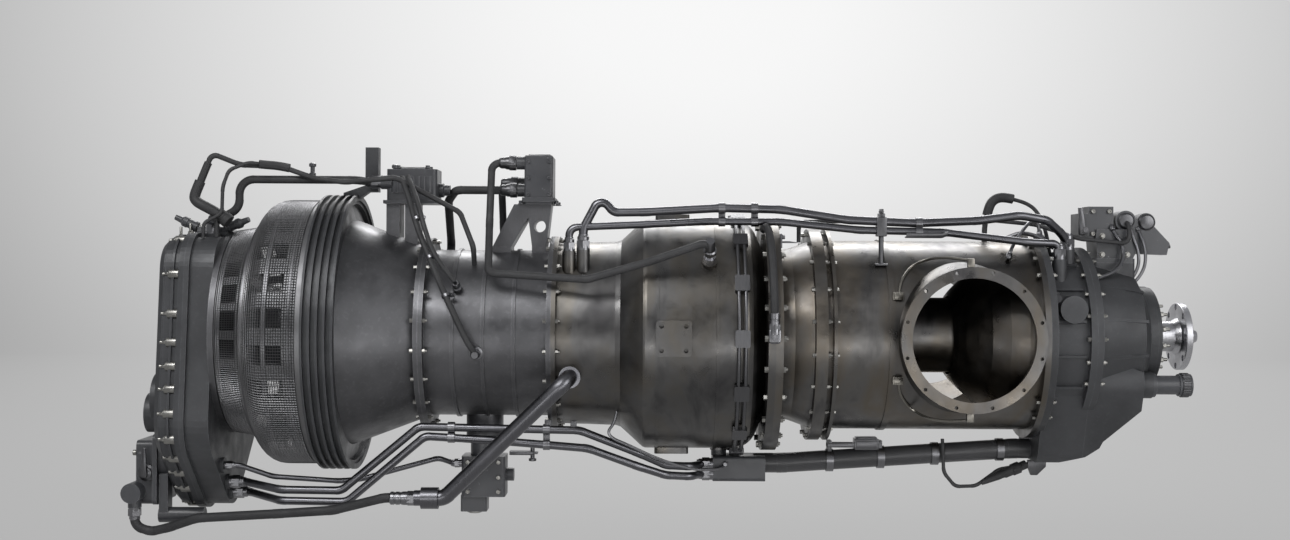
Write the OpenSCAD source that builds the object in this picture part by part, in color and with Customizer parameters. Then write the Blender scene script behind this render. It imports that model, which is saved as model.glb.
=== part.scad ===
// Free-turbine turboprop engine, side ports, rear inlet and rear accessory gearbox.
// X runs along the shaft line towards the propeller, Z is up, and X = 0 is the plane of the
// mounting pads. Stations are X values and radii are measured from the shaft line.

/* [Inlet end] */
// Radius of the round inlet screen
screen_r = 240; // [236:1:242]
// Largest radius of the ribbed sealing ring in front of the screen
seal_ring_r = 252; // [250:1:258]
// Radius of the compressor casing
comp_case_r = 152; // [151:0.5:152]

/* [Gas generator] */
// Radius of the rear barrel of the gas generator casing
gg_barrel_r = 166; // [165:0.5:168]
// Radius of the large combustion section
gg_case_r = 210; // [209:0.5:211]
// Height of a mounting pad over the casing
pad_height = 9; // [7:0.5:11]
// Length and width of a mounting pad
pad_size = 62; // [58:1:66]
// Bolt spacing of a mounting pad, both ways
pad_bolt_pitch = 42; // [38:1:44]
// Number of fuel nozzles round the casing
nozzle_count = 14; // [12:2:16]

/* [Exhaust] */
// Radius of the exhaust duct
duct_r = 173; // [171:0.5:175]
// Inside radius of an exhaust port
port_r = 106; // [102:1:108]
// Distance of a port flange face from the shaft line
port_reach = 232; // [226:1:238]
// Station of the port centres
port_x = 512; // [506:1:516]

/* [Reduction gearbox] */
// Radius of the rear half of the reduction gearbox
rgb_r = 163; // [160:1:166]

/* [Propeller shaft] */
// Radius of the propeller flange
prop_flange_r = 62; // [61:0.5:64]
// Bolt circle diameter of the propeller flange
prop_pcd = 108; // [106:0.5:109]
// Radius of the visible shaft behind the flange
prop_shaft_r = 28; // [26:0.5:30]

/* [Accessory gearbox] */
// Radius of the upper part of the gearbox outline
agb_top_r = 150; // [148:1:150]
// Thickness of the rear cover
agb_cover_depth = 48; // [44:1:48]

/* [Hidden] */
$fn = 96;

// Stations along the shaft line
x_agb_front = -808;
x_cover = -858 - agb_cover_depth;
x_inlet_front = -446;
x_gg_rear = -214;
x_c_flange = 176;
x_duct_rear = 258;
x_duct_front = 655;
x_rgb_split = 742;
x_nose = 872;
x_sump = 661;
a_flange_r = 188;
duct_flange_r = 194;
a_bolt_angles = concat([for (a = [-52:13:52]) a], [128, 141, 219, 232]);
port_flare = 36;
bleed_x = -180;
bleed_z = -70;
divider_z = -228;
x_prop_face = 944;
flange_t = 13;
heater_z = 236;
nozzle_x = 118;
igniter_x = 62;
igniter_angle = 52;
wall = 3;

// Rows of the axial compressor: rotor blades, and the vanes behind them
rotor_rows = [-420, -374, -328, -282];
vane_rows = [-397, -351, -305, -259];

// Seats of the tubes: on the gas generator, the rear gearbox and the reduction gearbox
case_tube_seats = [[-160, -115, 152], [-185, -115, 150]];
lower_seats = [[-802, -48, -272], [-802, -20, -294], [-802, -84, -238]];
gearbox_seats = [[712, -70, 158], [690, -100, 140]];
scavenge_z = -209;

// Seats of the units on the two gearboxes
filler_base = [-831, 118, 60];
filler_turn = [-58, 0, 0];
governor_z = 135;
sensor_y = -80;
sensor_z = -84.5;

// Gear trains: these counts mesh together and leave equal gaps between the planets
sun1_teeth = 24;
planet1_teeth = 30;
sun2_teeth = 25;
planet2_teeth = 25;
input_teeth = 24;
stage1_module = 2.5;
stage2_module = 2.8;
agb_module = 3;
ring1_teeth = sun1_teeth + 2 * planet1_teeth;
ring2_teeth = sun2_teeth + 2 * planet2_teeth;
orbit1_r = (sun1_teeth + planet1_teeth) * stage1_module / 2;
orbit2_r = (sun2_teeth + planet2_teeth) * stage2_module / 2;
pin1_r = 13;
pin2_r = 12;
run_gap = 0.05;
flank_gap = 0.28;
stage1_x = 690;
stage1_w = 28;
stage2_x = 752;
stage2_w = 30;

// Accessory gear centres, seen from the rear: [Y, Z], teeth
idler_teeth = 42;
pump_teeth = 44;
starter_teeth = 36;
side_teeth = 30;
idler_z = -(input_teeth + idler_teeth) * agb_module / 2;
pump_z = idler_z - (idler_teeth + pump_teeth) * agb_module / 2;
starter_z = (input_teeth + starter_teeth) * agb_module / 2;
side_y = (input_teeth + side_teeth) * agb_module / 2;
agb_gear_x = -852;
agb_gear_w = 18;
agb_shafts = [
    [0, starter_z], [0, idler_z], [0, pump_z], [side_y, 0], [-side_y, 0]
];
phase_idler = mesh_phase(180, 0, input_teeth, idler_teeth);
phase_pump = mesh_phase(180, phase_idler, idler_teeth, pump_teeth);
phase_starter = mesh_phase(0, 0, input_teeth, starter_teeth);
phase_oil = mesh_phase(-90, 0, input_teeth, side_teeth);
phase_generator = mesh_phase(90, 0, input_teeth, side_teeth);

// Overlap of a tube's straight lengths with its bends, and the step between their radii
bend_lap = 2;
short_bend = 9;
bend_step = 0.3;

// ---------------------------------------------------------------- helpers

function unit(v) = v / norm(v);
function arc_points(c, r, a0, a1, n = 6) =
    [for (i = [0:n]) c + r * [cos(a0 + (a1 - a0) * i / n), sin(a0 + (a1 - a0) * i / n)]];

// Solid of revolution round the shaft line from points [radius, station]
module revolve(profile) rotate([0, 90, 0]) rotate_extrude() polygon(profile);

// Point at radius r, turned phi about the shaft line from +Z
function polar_point(x, phi, r) = [x, -r * sin(phi), r * cos(phi)];

// Cylinder along +X starting at station x
module bar_x(x, r, length) translate([x, 0, 0]) rotate([0, 90, 0]) cylinder(r = r, h = length);

// The same, starting at any point
module bar_at(p, r, length) translate(p) rotate([0, 90, 0]) cylinder(r = r, h = length, $fn = 48);

module tube_x(x, r_out, r_in, length) difference() {
    bar_x(x, r_out, length);
    bar_x(x - 1, r_in, length + 2);
}

// Children repeated round the shaft line, drawn on the +Z side
module around(count, start = 0)
    for (i = [0:count - 1]) rotate([start + i * 360 / count, 0, 0]) children();

// Cylinder between two points
module rod(a, b, r) {
    w = unit(b - a);
    side = abs(w.z) < 0.9 ? [0, 0, 1] : [1, 0, 0];
    u = unit(cross(side, w));
    v = cross(w, u);
    multmatrix([
        [u.x, v.x, w.x, a.x],
        [u.y, v.y, w.y, a.y],
        [u.z, v.z, w.z, a.z],
        [0, 0, 0, 1]
    ]) cylinder(r = r, h = norm(b - a), $fn = 32);
}

// Quarter-turn or smaller bend at corner p, from direction u to direction v
module elbow(p, u, v, bend, r) {
    turn = acos(u * v);
    n = unit(v - u * (u * v));
    c = p - u * bend * tan(turn / 2) + n * bend;
    w = cross(-n, u);
    multmatrix([
        [-n.x, u.x, w.x, c.x],
        [-n.y, u.y, w.y, c.y],
        [-n.z, u.z, w.z, c.z],
        [0, 0, 0, 1]
    ]) rotate_extrude(angle = turn, $fn = 72) translate([bend, 0]) circle(r = r, $fn = 32);
}

// Round tube along a list of corner points, with the same bend radius at each. The straight
// lengths are a little thinner than the bends and run on into them.
module pipe(points, r, bend) {
    last = len(points) - 1;
    dir = [for (i = [0:last - 1]) unit(points[i + 1] - points[i])];
    half = [for (i = [0:last])
        i == 0 || i == last ? 0 : tan(acos(min(1, dir[i - 1] * dir[i])) / 2)];
    trim = [for (i = [0:last]) half[i] == 0 ? 0 : max(bend * half[i], short_bend) - bend_lap];
    for (i = [0:last - 1])
        rod(points[i] + dir[i] * trim[i], points[i + 1] - dir[i] * trim[i + 1], r - bend_step);
    for (i = [1:1:last - 1]) if (half[i] > 0)
        elbow(points[i], dir[i - 1], dir[i], max(bend, short_bend / half[i]), r);
}

// Half angle of an involute tooth at radius r; thin is taken off each flank
function involute(a) = tan(a) * 180 / PI - a;
function tooth_half(r, teeth, m, thin) =
    let (base = teeth * m / 2 * cos(20))
    90 / teeth + involute(20) - involute(acos(min(1, base / r))) - thin / r * 180 / PI;

// Gear outline; thin is negative for the space cut in a ring gear
module gear_outline(teeth, m, thin, addendum = 0.85, dedendum = 1.15) {
    pitch_r = teeth * m / 2;
    radii = [
        pitch_r - dedendum * m,
        pitch_r - 0.45 * m,
        pitch_r + 0.15 * m,
        pitch_r + addendum * m
    ];
    polygon([for (i = [0:teeth - 1], side = [-1, 1], k = [0:3])
        let (r = side < 0 ? radii[k] : radii[3 - k])
        let (a = i * 360 / teeth + side * tooth_half(r, teeth, m, thin))
        r * [cos(a), sin(a)]
    ]);
}

// Outline turned about the shaft line and extruded along +X; phase 0 puts a tooth on +Z
module gear_x(x, teeth, m, width, phase = 0) translate([x, 0, 0]) rotate([0, 90, 0])
    rotate([0, 0, 180 + phase]) linear_extrude(width) gear_outline(teeth, m, flank_gap);

// Phase of a gear that meshes with a gear of n1 teeth, whose own phase is given, in direction phi
function mesh_phase(phi, phase1, n1, n2) = phi + 180 + (phi - phase1) * n1 / n2 - 180 / n2;

// Ring gear cut to mesh with planets of the given tooth count
module ring_gear(x, teeth, m, width, outer_r, planet_teeth) difference() {
    bar_x(x, outer_r, width);
    translate([x - 1, 0, 0]) rotate([0, 90, 0])
        rotate([0, 0, 180 + 180 / teeth + (planet_teeth % 2) * 180 / teeth])
            linear_extrude(width + 2) gear_outline(teeth, m, -flank_gap, 1.15, 0.85);
}

// Point at radius r in direction phi, which turns from +Z towards -Y
function polar(phi, r) = [0, -r * sin(phi), r * cos(phi)];

// Hexagon bolt head standing on a plane, pointing along +X
module hex_x(across, height) rotate([0, 90, 0]) cylinder(d = across * 2 / sqrt(3), h = height, $fn = 6);

// Bolts with nuts through a flange pair, on a circle round the shaft line
module flange_bolt(x0, x1, pcd_r, across) translate([0, 0, pcd_r]) {
    translate([x0 - 6, 0, 0]) hex_x(across, 6);
    translate([x1, 0, 0]) hex_x(across, 5);
    bar_x(x0, across * 0.3, x1 + 8 - x0);
}
module flange_bolt_ring(x0, x1, pcd_r, count, across = 10, start = 0)
    around(count, start) flange_bolt(x0, x1, pcd_r, across);

module flange_holes(x0, x1, pcd_r, count, hole_r = 3, start = 0)
    around(count, start) translate([0, 0, pcd_r]) bar_x(x0 - 1, hole_r, x1 - x0 + 2);

// Bolts of the flange behind the ports leave out the arc that a port covers
module beside_ports() for (a = a_bolt_angles) rotate([a, 0, 0]) translate([0, 0, a_flange_r - 7.5])
    children();
// Bolts of the gearbox split leave out the arc that the sump covers
module above_sump() for (a = [-120:15:120]) rotate([a, 0, 0]) translate([0, 0, rgb_r - 5])
    children();

// ---------------------------------------------------------------- gas generator

function gg_outer() = concat(
    [[178, x_gg_rear], [178, x_gg_rear + 8], [gg_barrel_r, x_gg_rear + 8], [gg_barrel_r + 3, -102]],
    [[gg_barrel_r + 6, -93], [gg_case_r - 8, -60]],
    arc_points([gg_case_r - 14, -46], 14, -30, 0, 2),
    [[gg_case_r, 112]],
    arc_points([gg_case_r - 44, 112], 44, 0, 72, 6),
    [[160, 163], [213, 163], [213, x_c_flange]]
);
function gg_inner() = concat(
    [[150, x_c_flange], [150, 164]],
    arc_points([gg_case_r - 44, 112], 44 - wall, 70, 0, 6),
    [[gg_case_r - wall, -46], [gg_case_r - wall - 8, -60], [161 + wall, -92], [161, -99]],
    [[161, x_gg_rear]]
);

module pad_holes() for (i = [-1, 1], j = [-1, 1])
    translate([i * pad_bolt_pitch / 2, j * pad_bolt_pitch / 2, gg_case_r + pad_height - 11])
        cylinder(r = 4, h = 12);

module mount_pad_block() translate([0, 0, gg_case_r - 6]) linear_extrude(pad_height + 6)
    offset(6, $fn = 24) square(pad_size - 12, center = true);

module gas_generator_case() color("#4a4a4c") difference() {
    union() {
        revolve(concat(gg_outer(), gg_inner()));
        // four mounting pads
        around(4) mount_pad_block();
        // igniter bosses
        for (a = [-1, 1]) rotate([a * igniter_angle, 0, 0]) translate([igniter_x, 0, gg_case_r - 2])
            cylinder(r = 14, h = 10);
        // nozzle seats and the seat of the divider block
        around(nozzle_count, 180 / nozzle_count) translate([nozzle_x, 0, 200]) cylinder(r = 13, h = 13);
        translate([88, 0, -214]) cylinder(r = 16, h = 14);
        // side boss of the bleed air tube
        translate([bleed_x, -140, bleed_z]) rotate([90, 0, 0]) cylinder(r = 19, h = 34);
        // stiffening bands
        tube_x(-30, gg_case_r + 1.6, gg_case_r - 1, 5);
        tube_x(74, gg_case_r + 1.6, gg_case_r - 1, 5);
        // tube seats
        for (p = case_tube_seats) translate([p.x, p.y, p.z - 40]) cylinder(r = 12, h = 40);
    }
    bar_x(-46, gg_case_r - wall, 158);
    bar_x(x_gg_rear - 1, 161, 116);
    around(4) pad_holes();
    for (a = [-1, 1]) rotate([a * igniter_angle, 0, 0]) translate([igniter_x, 0, 180])
        cylinder(r = 6.05, h = 60);
    around(nozzle_count, 180 / nozzle_count) translate([nozzle_x, 0, 190]) cylinder(r = 7, h = 40);
    flange_holes(163, x_c_flange, 204, 24, 3.1);
    flange_holes(x_gg_rear, x_gg_rear + 8, 172.5, 20, 2.2, 9);
}

// Bottom ends of the tubes that stand on the gas generator barrel

module compressor_case() color("#515154") difference() {
    union() {
        revolve([
            [146, x_inlet_front], [174, x_inlet_front], [174, x_inlet_front + 8],
            [comp_case_r, x_inlet_front + 8], [comp_case_r, x_gg_rear - 8],
            [178, x_gg_rear - 8], [178, x_gg_rear], [146, x_gg_rear]
        ]);
        for (x = [-392, -338, -284]) tube_x(x, comp_case_r + 3, 148, 6);
        // seat of the bleed valve, below
        translate([-344, 0, -186]) cylinder(r = 34, h = 60);
        // seats of the exciter bracket, above
        for (x = [-312, -240]) translate([x, 0, comp_case_r - 8]) linear_extrude(14)
            square([34, 70], center = true);
    }
    bar_x(x_inlet_front - 1, 146, x_gg_rear - x_inlet_front + 2);
    translate([-344, 0, -190]) cylinder(r = 20, h = 60);
    flange_holes(x_gg_rear - 8, x_gg_rear, 172.5, 20, 2.2, 9);
    flange_holes(x_inlet_front, x_inlet_front + 8, 168.5, 20, 2.2, 9);
}

// Stage stations of the axial compressor: rotor rows, and the vane rows behind them
function drum_r(x) = 74 + (x + 430) * 0.09;

// Row of curved blades standing on radius r0, staggered about their own span
module blade_row(x, count, r0, r1, chord, stagger, thick) around(count)
    translate([x, 0, r0]) rotate([0, 0, stagger]) intersection() {
        translate([0, -chord * 2, 0]) cylinder(r = chord * 2 + thick * 0.7, h = r1 - r0);
        translate([0, chord * 3, 0]) cylinder(r = chord * 3 + thick * 0.3, h = r1 - r0);
    }

module compressor_stator() color("#8c8d8f") {
    tube_x(-438, 124, 118, 206);
    for (x = [-438, -238]) tube_x(x, 146, 118, 6);
    for (x = vane_rows) blade_row(x, 20, drum_r(x) + 3, 119.5, 16, -28, 1.8);
}

module compressor_inlet_case() color("#5a5b5c") difference() {
    union() {
        // rear wall, bowl and hub
        revolve(concat(
            [[26, x_agb_front], [186, x_agb_front], [186, -798]],
            arc_points([176, -692], 104, -90, -180, 8),
            [[62, -660], [62, -452], [26, -452]]
        ));
        // front lip, cone and compressor flange
        revolve([
            [236, -606], [236, -590], [207, -584], [158, -454], [174, -454], [174, x_inlet_front],
            [118, x_inlet_front], [118, -452], [150, -520], [199, -586], [226, -600], [226, -606]
        ]);
        // radial struts
        around(6, 30) translate([-545, 0, 50]) linear_extrude(122) hull() {
            translate([-36, 0]) circle(r = 6, $fn = 24);
            translate([36, 0]) circle(r = 3, $fn = 24);
        }
        // seats of the heater
        for (x = [-512, -478]) translate([x, 0, 158]) linear_extrude(heater_z - 158)
            square([24, 60], center = true);
    }
    bar_x(x_agb_front - 1, 26, 400);
    bar_x(-476, 45, 30);
    flange_holes(-454, x_inlet_front, 168.5, 20, 2.2, 9);
}

// Profile of the screen: domed at the rear, straight at the front
function screen_line(grow) = concat(
    [[184 + grow, -797], [191 + grow, -752]],
    arc_points([screen_r - 44, -700], 44 + grow, -72, 0, 5),
    [[screen_r + grow, -634]]
);
module inlet_screen() color("#6d6e70") {
    difference() {
        rotate([0, 90, 0]) rotate_extrude() polygon(concat(
            screen_line(0),
            [for (i = [len(screen_line(-3)) - 1:-1:0]) screen_line(-3)[i]]
        ));
        // windows between the wires' carrier bars
        around(24, 7.5) for (x = [-774, -716, -680])
            translate([x, 0, 170]) linear_extrude(90) square([26, 34], center = true);
    }
    tube_x(-642, screen_r, screen_r - 4, 8);
    tube_x(-606 - 28, screen_r, 236, 28);
}

module inlet_seal_ring() color("#3b3b3c") {
    tube_x(-634, screen_r + 4, screen_r + 0.02, 28);
    for (i = [0:4]) tube_x(-634 + i * 13, seal_ring_r, screen_r + 2, 4);
    tube_x(-606, screen_r + 4, 236, 24);
    // hoist bracket, cranked forward over the cone
    translate([0, 12, 0]) rotate([90, 0, 0]) linear_extrude(24) polygon([
        [-606, 242], [-582, 242], [-560, 258], [-542, 258], [-542, 340], [-566, 340], [-566, 270],
        [-606, 256]
    ]);
}

// ---------------------------------------------------------------- accessory gearbox

// Outline of the gearbox in the plane across the shaft line, grown or shrunk
module agb_outline(grow = 0) rotate(90) offset(grow, $fn = 48) hull() {
    translate([22, 0]) circle(r = agb_top_r);
    for (side = [-1, 1]) translate([agb_top_r - 40, side * 84]) circle(r = 62);
    for (side = [-1, 1]) translate([-150, side * 88]) circle(r = 86);
    translate([-250, 0]) circle(r = 68);
}
// Extrusion of an outline drawn as [Z, Y], along +X
module extrude_x(x, length) translate([x, 0, 0]) rotate([90, 0, 90]) linear_extrude(length) children();

module accessory_gearbox_housing() color("#4d4e50") difference() {
    union() {
        extrude_x(-858, 50) agb_outline();
        // flange at the cover joint
        extrude_x(-858, 9) agb_outline(7);
        // ribs on the front face stop at the inlet flange
        for (p = agb_shafts) translate([0, p[0], p[1]]) bar_x(-830, 26, 22);
        // tube seats on the lower front face
        for (p = lower_seats) translate([0, p.y, p.z]) bar_x(-820, 14, 18);
        // seat of the rear oil pipe, above
        translate([-832, -60, 128]) cylinder(r = 14, h = 50);
        // oil filler neck on the far side
        translate(filler_base) rotate(filler_turn) cylinder(r = 20, h = 74);
    }
    difference() {
        extrude_x(-866, 50) agb_outline(-7);
        for (p = agb_shafts) translate([0, p[0], p[1]]) bar_x(-828, 20, 14);
        bar_x(-828, 34, 14);
    }
    for (p = agb_shafts) translate([0, p[0], p[1]]) bar_x(-829, 12 + run_gap, 18);
    bar_x(-830, 24, 40);
    translate(filler_base) rotate(filler_turn) translate([0, 0, 20]) cylinder(r = 15.1, h = 60);
}

// Ends of the lower tubes at the gearbox

module accessory_gearbox_cover() color("#5d5e60") difference() {
    union() {
        hull() {
            extrude_x(x_cover + 10, 6) agb_outline(-2);
            extrude_x(x_cover, 1) agb_outline(-12);
        }
        extrude_x(x_cover + 14, agb_cover_depth - 14) agb_outline(0);
        extrude_x(-867, 9) agb_outline(7);
        extrude_x(-880, 4) agb_outline(4);
        // machined pads
        translate([0, 0, starter_z]) bar_x(x_cover - 8, 62, 30);
        for (side = [-1, 1]) {
            translate([0, side * 92, -118]) bar_x(x_cover - 16, 46, 30);
            translate([0, side * 92, -143]) bar_x(x_cover - 30, 35, 40);
        }
        translate([0, 0, pump_z]) bar_x(x_cover - 8, 58, 30);
    }
    difference() {
        extrude_x(x_cover + 9, agb_cover_depth) agb_outline(-7);
        for (p = concat(agb_shafts, [[0, 0]])) translate([0, p[0], p[1]])
            bar_x(x_cover + 5, 20, -874 - x_cover - 5);
    }
    for (p = concat(agb_shafts, [[0, 0]])) translate([0, p[0], p[1]]) bar_x(-891, 12 + run_gap, 24);
    // tapped holes of the starter pad
    for (i = [0:7]) translate([0, 50 * sin(i * 45), starter_z + 50 * cos(i * 45)])
        bar_x(x_cover - 9, 4, 12);
}

module agb_gear(centre, teeth, phase, colour = "#9a9b9d")
    color(colour) translate([0, centre.x, centre.y]) {
    gear_x(agb_gear_x, teeth, agb_module, agb_gear_w, phase);
    bar_x(-889, 12, 77);
}

module starter_drive_gear() agb_gear([0, starter_z], starter_teeth, phase_starter);
module idler_gear() agb_gear([0, idler_z], idler_teeth, phase_idler);
module fuel_pump_drive_gear() agb_gear([0, pump_z], pump_teeth, phase_pump);
module oil_pump_drive_gear() agb_gear([side_y, 0], side_teeth, phase_oil);
module generator_drive_gear() agb_gear([-side_y, 0], side_teeth, phase_generator);

module oil_filler_cap() color("#7f8082") translate(filler_base) rotate(filler_turn) {
    translate([0, 0, 74.05]) cylinder(r = 24, h = 14);
    translate([0, 0, 88.05]) linear_extrude(9) square([40, 9], center = true);
    translate([0, 0, 30]) cylinder(r = 15.05, h = 45);
    translate([0, 0, 22]) cylinder(r = 3, h = 10);
}

// Fuel pump with its metering unit, below the rear cover
module fuel_pump() color("#464749") translate([0, 0, pump_z - 8]) {
    translate([0, 0, 8]) bar_x(-936, 54, x_cover - 8 + 936);
    difference() {
        union() {
            translate([0, 0, -20]) extrude_x(-972, 40) offset(10, $fn = 32)
                square([86, 96], center = true);
            translate([0, 0, -14]) extrude_x(-940, 8) offset(10, $fn = 32)
                square([104, 108], center = true);
            // servo housing across the rear, with the bypass outlet below it
            translate([-972, -84, -54]) rotate([-90, 0, 0]) cylinder(r = 18, h = 54);
            translate([-971, -62, -82]) cylinder(r = 12, h = 28);
        }
        for (z = [-56, 16], y = [-50, 50]) translate([0, y, z]) bar_x(-973, 3, 10);
    }
    // filter bowl under the front of the pump
    translate([-930, -54, -92]) cube([16, 28, 70]);
    translate([0, -40, -98]) bar_x(-932, 14, 82);
}

// ---------------------------------------------------------------- hot section and rotors

module diffuser() color("#7d7d7f") {
    // impeller shroud, running out to the radial passage
    revolve(concat(
        [[99, -236], [104, -214], [112, -186], [122, -160], [122, -152], [161, -152], [161, -146]],
        [[134, -146], [134, -132], [161, -132], [161, -126], [150, -126], [84, -84], [66, -66], [66, 36]],
        [[90.5, 36], [90.5, 40], [50, 40], [50, -68], [74, -92], [120, -128], [120, -138]],
        [[130, -138], [130, -144], [121, -146], [119, -146], [119, -160], [109, -186], [101, -214]],
        [[96, -236]]
    ));
    around(nozzle_count) pipe([[-139, 0, 130], [-139, 0, 152], [-100, 0, 152]], 5.5, 12);
}

module combustion_liner() color("#77716b") difference() {
    revolve(concat(
        [[129, 40], [129, -8]],
        [[131, -10], [133, -8], [133, 108], [183, 108]],
        arc_points([138, -20], 45, 0, -180, 10),
        [[93, 40], [91, 40]],
        arc_points([138, -20], 47, -180, 0, 10),
        [[185, 110], [131, 110], [131, 40]]
    ));
    around(nozzle_count, 180 / nozzle_count) translate([0, 0, 158]) bar_x(100, 7.5, 20);
    // air holes of the outer shell
    around(16, 4) for (x = [8, 62]) translate([x, 0, 170]) cylinder(r = 5, h = 30);
}

module compressor_turbine_vanes() color("#8a8580") {
    tube_x(40, 131, 122.5, 54);
    tube_x(40, 94, 84, 20);
    blade_row(51, 18, 93, 124, 18, 38, 3);
}

module power_turbine_vanes() color("#8a8580") {
    tube_x(112, 147, 141, 120);
    tube_x(x_c_flange, 156, 141, 4);
    for (x = [122, 182]) {
        tube_x(x - 8, 100, 94, 16);
        blade_row(x, 20, 99, 144, 16, 34, 3);
    }
    revolve([[22, 178], [94.5, 178], [94.5, 186], [22, 186]]);
}

module power_turbine_case() color("#57514d") difference() {
    revolve([
        [213, x_c_flange], [213, x_c_flange + flange_t], [162, x_c_flange + flange_t],
        [154, x_c_flange + flange_t + 2], [158, 214], [170, x_duct_rear - 11],
        [duct_flange_r, x_duct_rear - 11], [duct_flange_r, x_duct_rear], [167, x_duct_rear],
        [166, x_duct_rear - 13], [154, 214], [149, 192], [149, 181], [156.2, 180.2],
        [156.2, x_c_flange]
    ]);
    flange_holes(x_c_flange, x_c_flange + flange_t, 204, 24, 3.1);
    flange_holes(x_duct_rear - 11, x_duct_rear, duct_flange_r - 8, 20, 2.2, 9);
}

module turbine_bearing_housing() color("#6b655f") difference() {
    union() {
        revolve([
            [52, 238], [60, 244], [69, 300], [69, 641], [92, 641], [92, 648], [69, 648], [69, 655],
            [34, 655], [34, 640], [62, 634], [62, 300], [54, 270], [40.4, 270], [40.4, 238]
        ]);
        // bearing seats on webs
        tube_x(588, 64, 40, 28);
    }
    bar_x(237, 40, 26);
    bar_x(587, 40, 30);
    flange_holes(641, 648, 84, 16, 2.6);
}

// Cone of an exhaust port, grown by the wall and run on past the flange face
module port_cone(grow, past) translate([port_x, 0, 0]) rotate([-90, 0, 0]) translate([0, 0, 60])
    cylinder(
        r1 = port_r + port_flare + grow,
        r2 = port_r + grow - port_flare * past / (port_reach - 60),
        h = port_reach - 60 + past
    );

module duct_shell() difference() {
    union() {
        bar_x(x_duct_rear + 9, duct_r, x_duct_front - 19 - x_duct_rear);
        bar_x(x_duct_rear, duct_flange_r, 10);
        // fire seal ring in front of the flange
        tube_x(278, duct_flange_r, duct_r - 1, 6);
        bar_x(x_duct_front - 10, a_flange_r, 10);
        tube_x(377, duct_r + 2.5, duct_r - 1, 11);
        intersection() {
            for (side = [0, 1]) mirror([0, side, 0]) port_cone(2.5, -3);
            bar_x(x_duct_rear, 400, x_duct_front - 4 - x_duct_rear);
        }
        for (side = [0, 1]) mirror([0, side, 0]) translate([port_x, port_reach - 10, 0])
            rotate([-90, 0, 0]) cylinder(r = port_r + 19, h = 10);
    }
    bar_x(x_duct_rear - 1, duct_r - 2.5, x_duct_front - 7 - x_duct_rear + 1);
    bar_x(x_duct_front - 20, 72, 30);
    intersection() {
        for (side = [0, 1]) mirror([0, side, 0]) port_cone(0, 5);
        bar_x(x_duct_rear, 400, x_duct_front - 9 - x_duct_rear);
    }
    for (i = [0:11]) translate([port_x, 0, 0]) rotate([0, i * 30 + 15, 0])
        for (side = [0, 1]) mirror([0, side, 0]) translate([port_r + 12.5, port_reach - 11, 0])
            rotate([-90, 0, 0]) cylinder(r = 3.2, h = 12, $fn = 24);
    flange_holes(x_duct_rear, x_duct_rear + 10, duct_flange_r - 8, 20, 2.2, 9);
    beside_ports() bar_x(x_duct_front - 11, 2.6, 12);
}

// Flared inner wall that turns the gas out through the ports
deflector = [
    [75, 507], [84, 514], [96, 526], [112, 544], [130, 566], [147, 595], [158, 625], [163, 650]
];
module exhaust_duct() color("#8d8a86") {
    duct_shell();
    revolve(concat(
        deflector,
        [for (i = [len(deflector) - 1:-1:0]) deflector[i] + [-2.4, 2]]
    ));
}

module gas_generator_shaft() color("#a4a5a8") {
    gear_x(agb_gear_x, input_teeth, agb_module, agb_gear_w, 0);
    bar_x(-889, 12, 60);
    bar_x(-840, 16, 362);
    bar_x(-478, 22, 544);
    bar_x(66, 26, 24);
}

module compressor_rotor() color("#b0b1b4") {
    revolve([[22, -430], [drum_r(-430), -430], [drum_r(-240), -240], [22, -240]]);
    for (x = rotor_rows) blade_row(x, 16, drum_r(x) - 2, 116.5, 17, 34, 2.2);
}

// Impeller: curved hub with straight radial vanes
function impeller_hub() = arc_points([132, -239], 72, 180, 108, 6);
module compressor_impeller() color("#b8b9bc") {
    revolve(concat(
        [[22, -239]],
        impeller_hub(),
        [[118, -150], [118, -142], [70, -141], [60, -128], [22, -128]]
    ));
    intersection() {
        around(16) translate([-195, 0, 84]) cube([110, 2.4, 80], center = true);
        revolve([
            [58, -239], [94, -236], [99, -214], [107, -187], [117, -160], [118, -150],
            [118, -146], [90, -146], [58, -190]
        ]);
    }
}

module compressor_turbine_disc() color("#9c958c") {
    revolve([[26, 62], [44, 62], [50, 70], [82, 70], [88, 67], [93, 67], [93, 87], [88, 87],
        [82, 84], [50, 84], [44, 90], [26, 90]]);
    blade_row(77, 30, 91, 121, 17, -38, 3);
}

module power_turbine_shaft() color("#a8a9ac") {
    bar_x(134, 20, 584);
    bar_x(134, 30, 8);
    // first sun gear and its end spigot
    gear_x(stage1_x, sun1_teeth, stage1_module, stage1_w, 0);
    bar_x(718, 12, 6.4);
}

module power_turbine_discs() color("#9c958c") for (x = [142, 199]) {
    revolve([
        [20, x], [46, x], [52, x + 6], [88, x + 6], [94, x + 2], [98, x + 2],
        [98, x + 17], [94, x + 17], [88, x + 13], [52, x + 13], [46, x + 19], [20, x + 19]
    ]);
    blade_row(x + 9.5, 24, 96, 139.4, 15, -34, 3);
}

module main_bearings() color("#85868a") {
    tube_x(-476, 45, 22 + run_gap, 18);
    tube_x(-40, 50, 22 + run_gap, 18);
    tube_x(244, 40, 20 + run_gap, 16);
    tube_x(592, 40, 20 + run_gap, 16);
    tube_x(830, 46, 30 + run_gap, 18);
    tube_x(852, 46, 30 + run_gap, 20);
}

// ---------------------------------------------------------------- reduction gearbox

module first_ring_gear() color("#939498") {
    ring_gear(stage1_x - 4, ring1_teeth, stage1_module, 56, 117, planet1_teeth);
    tube_x(734, 147.7, 116, 8);
}

module second_ring_gear() color("#939498")
    ring_gear(stage2_x - 2, ring2_teeth, stage2_module, stage2_w + 4, 117, planet2_teeth);

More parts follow.
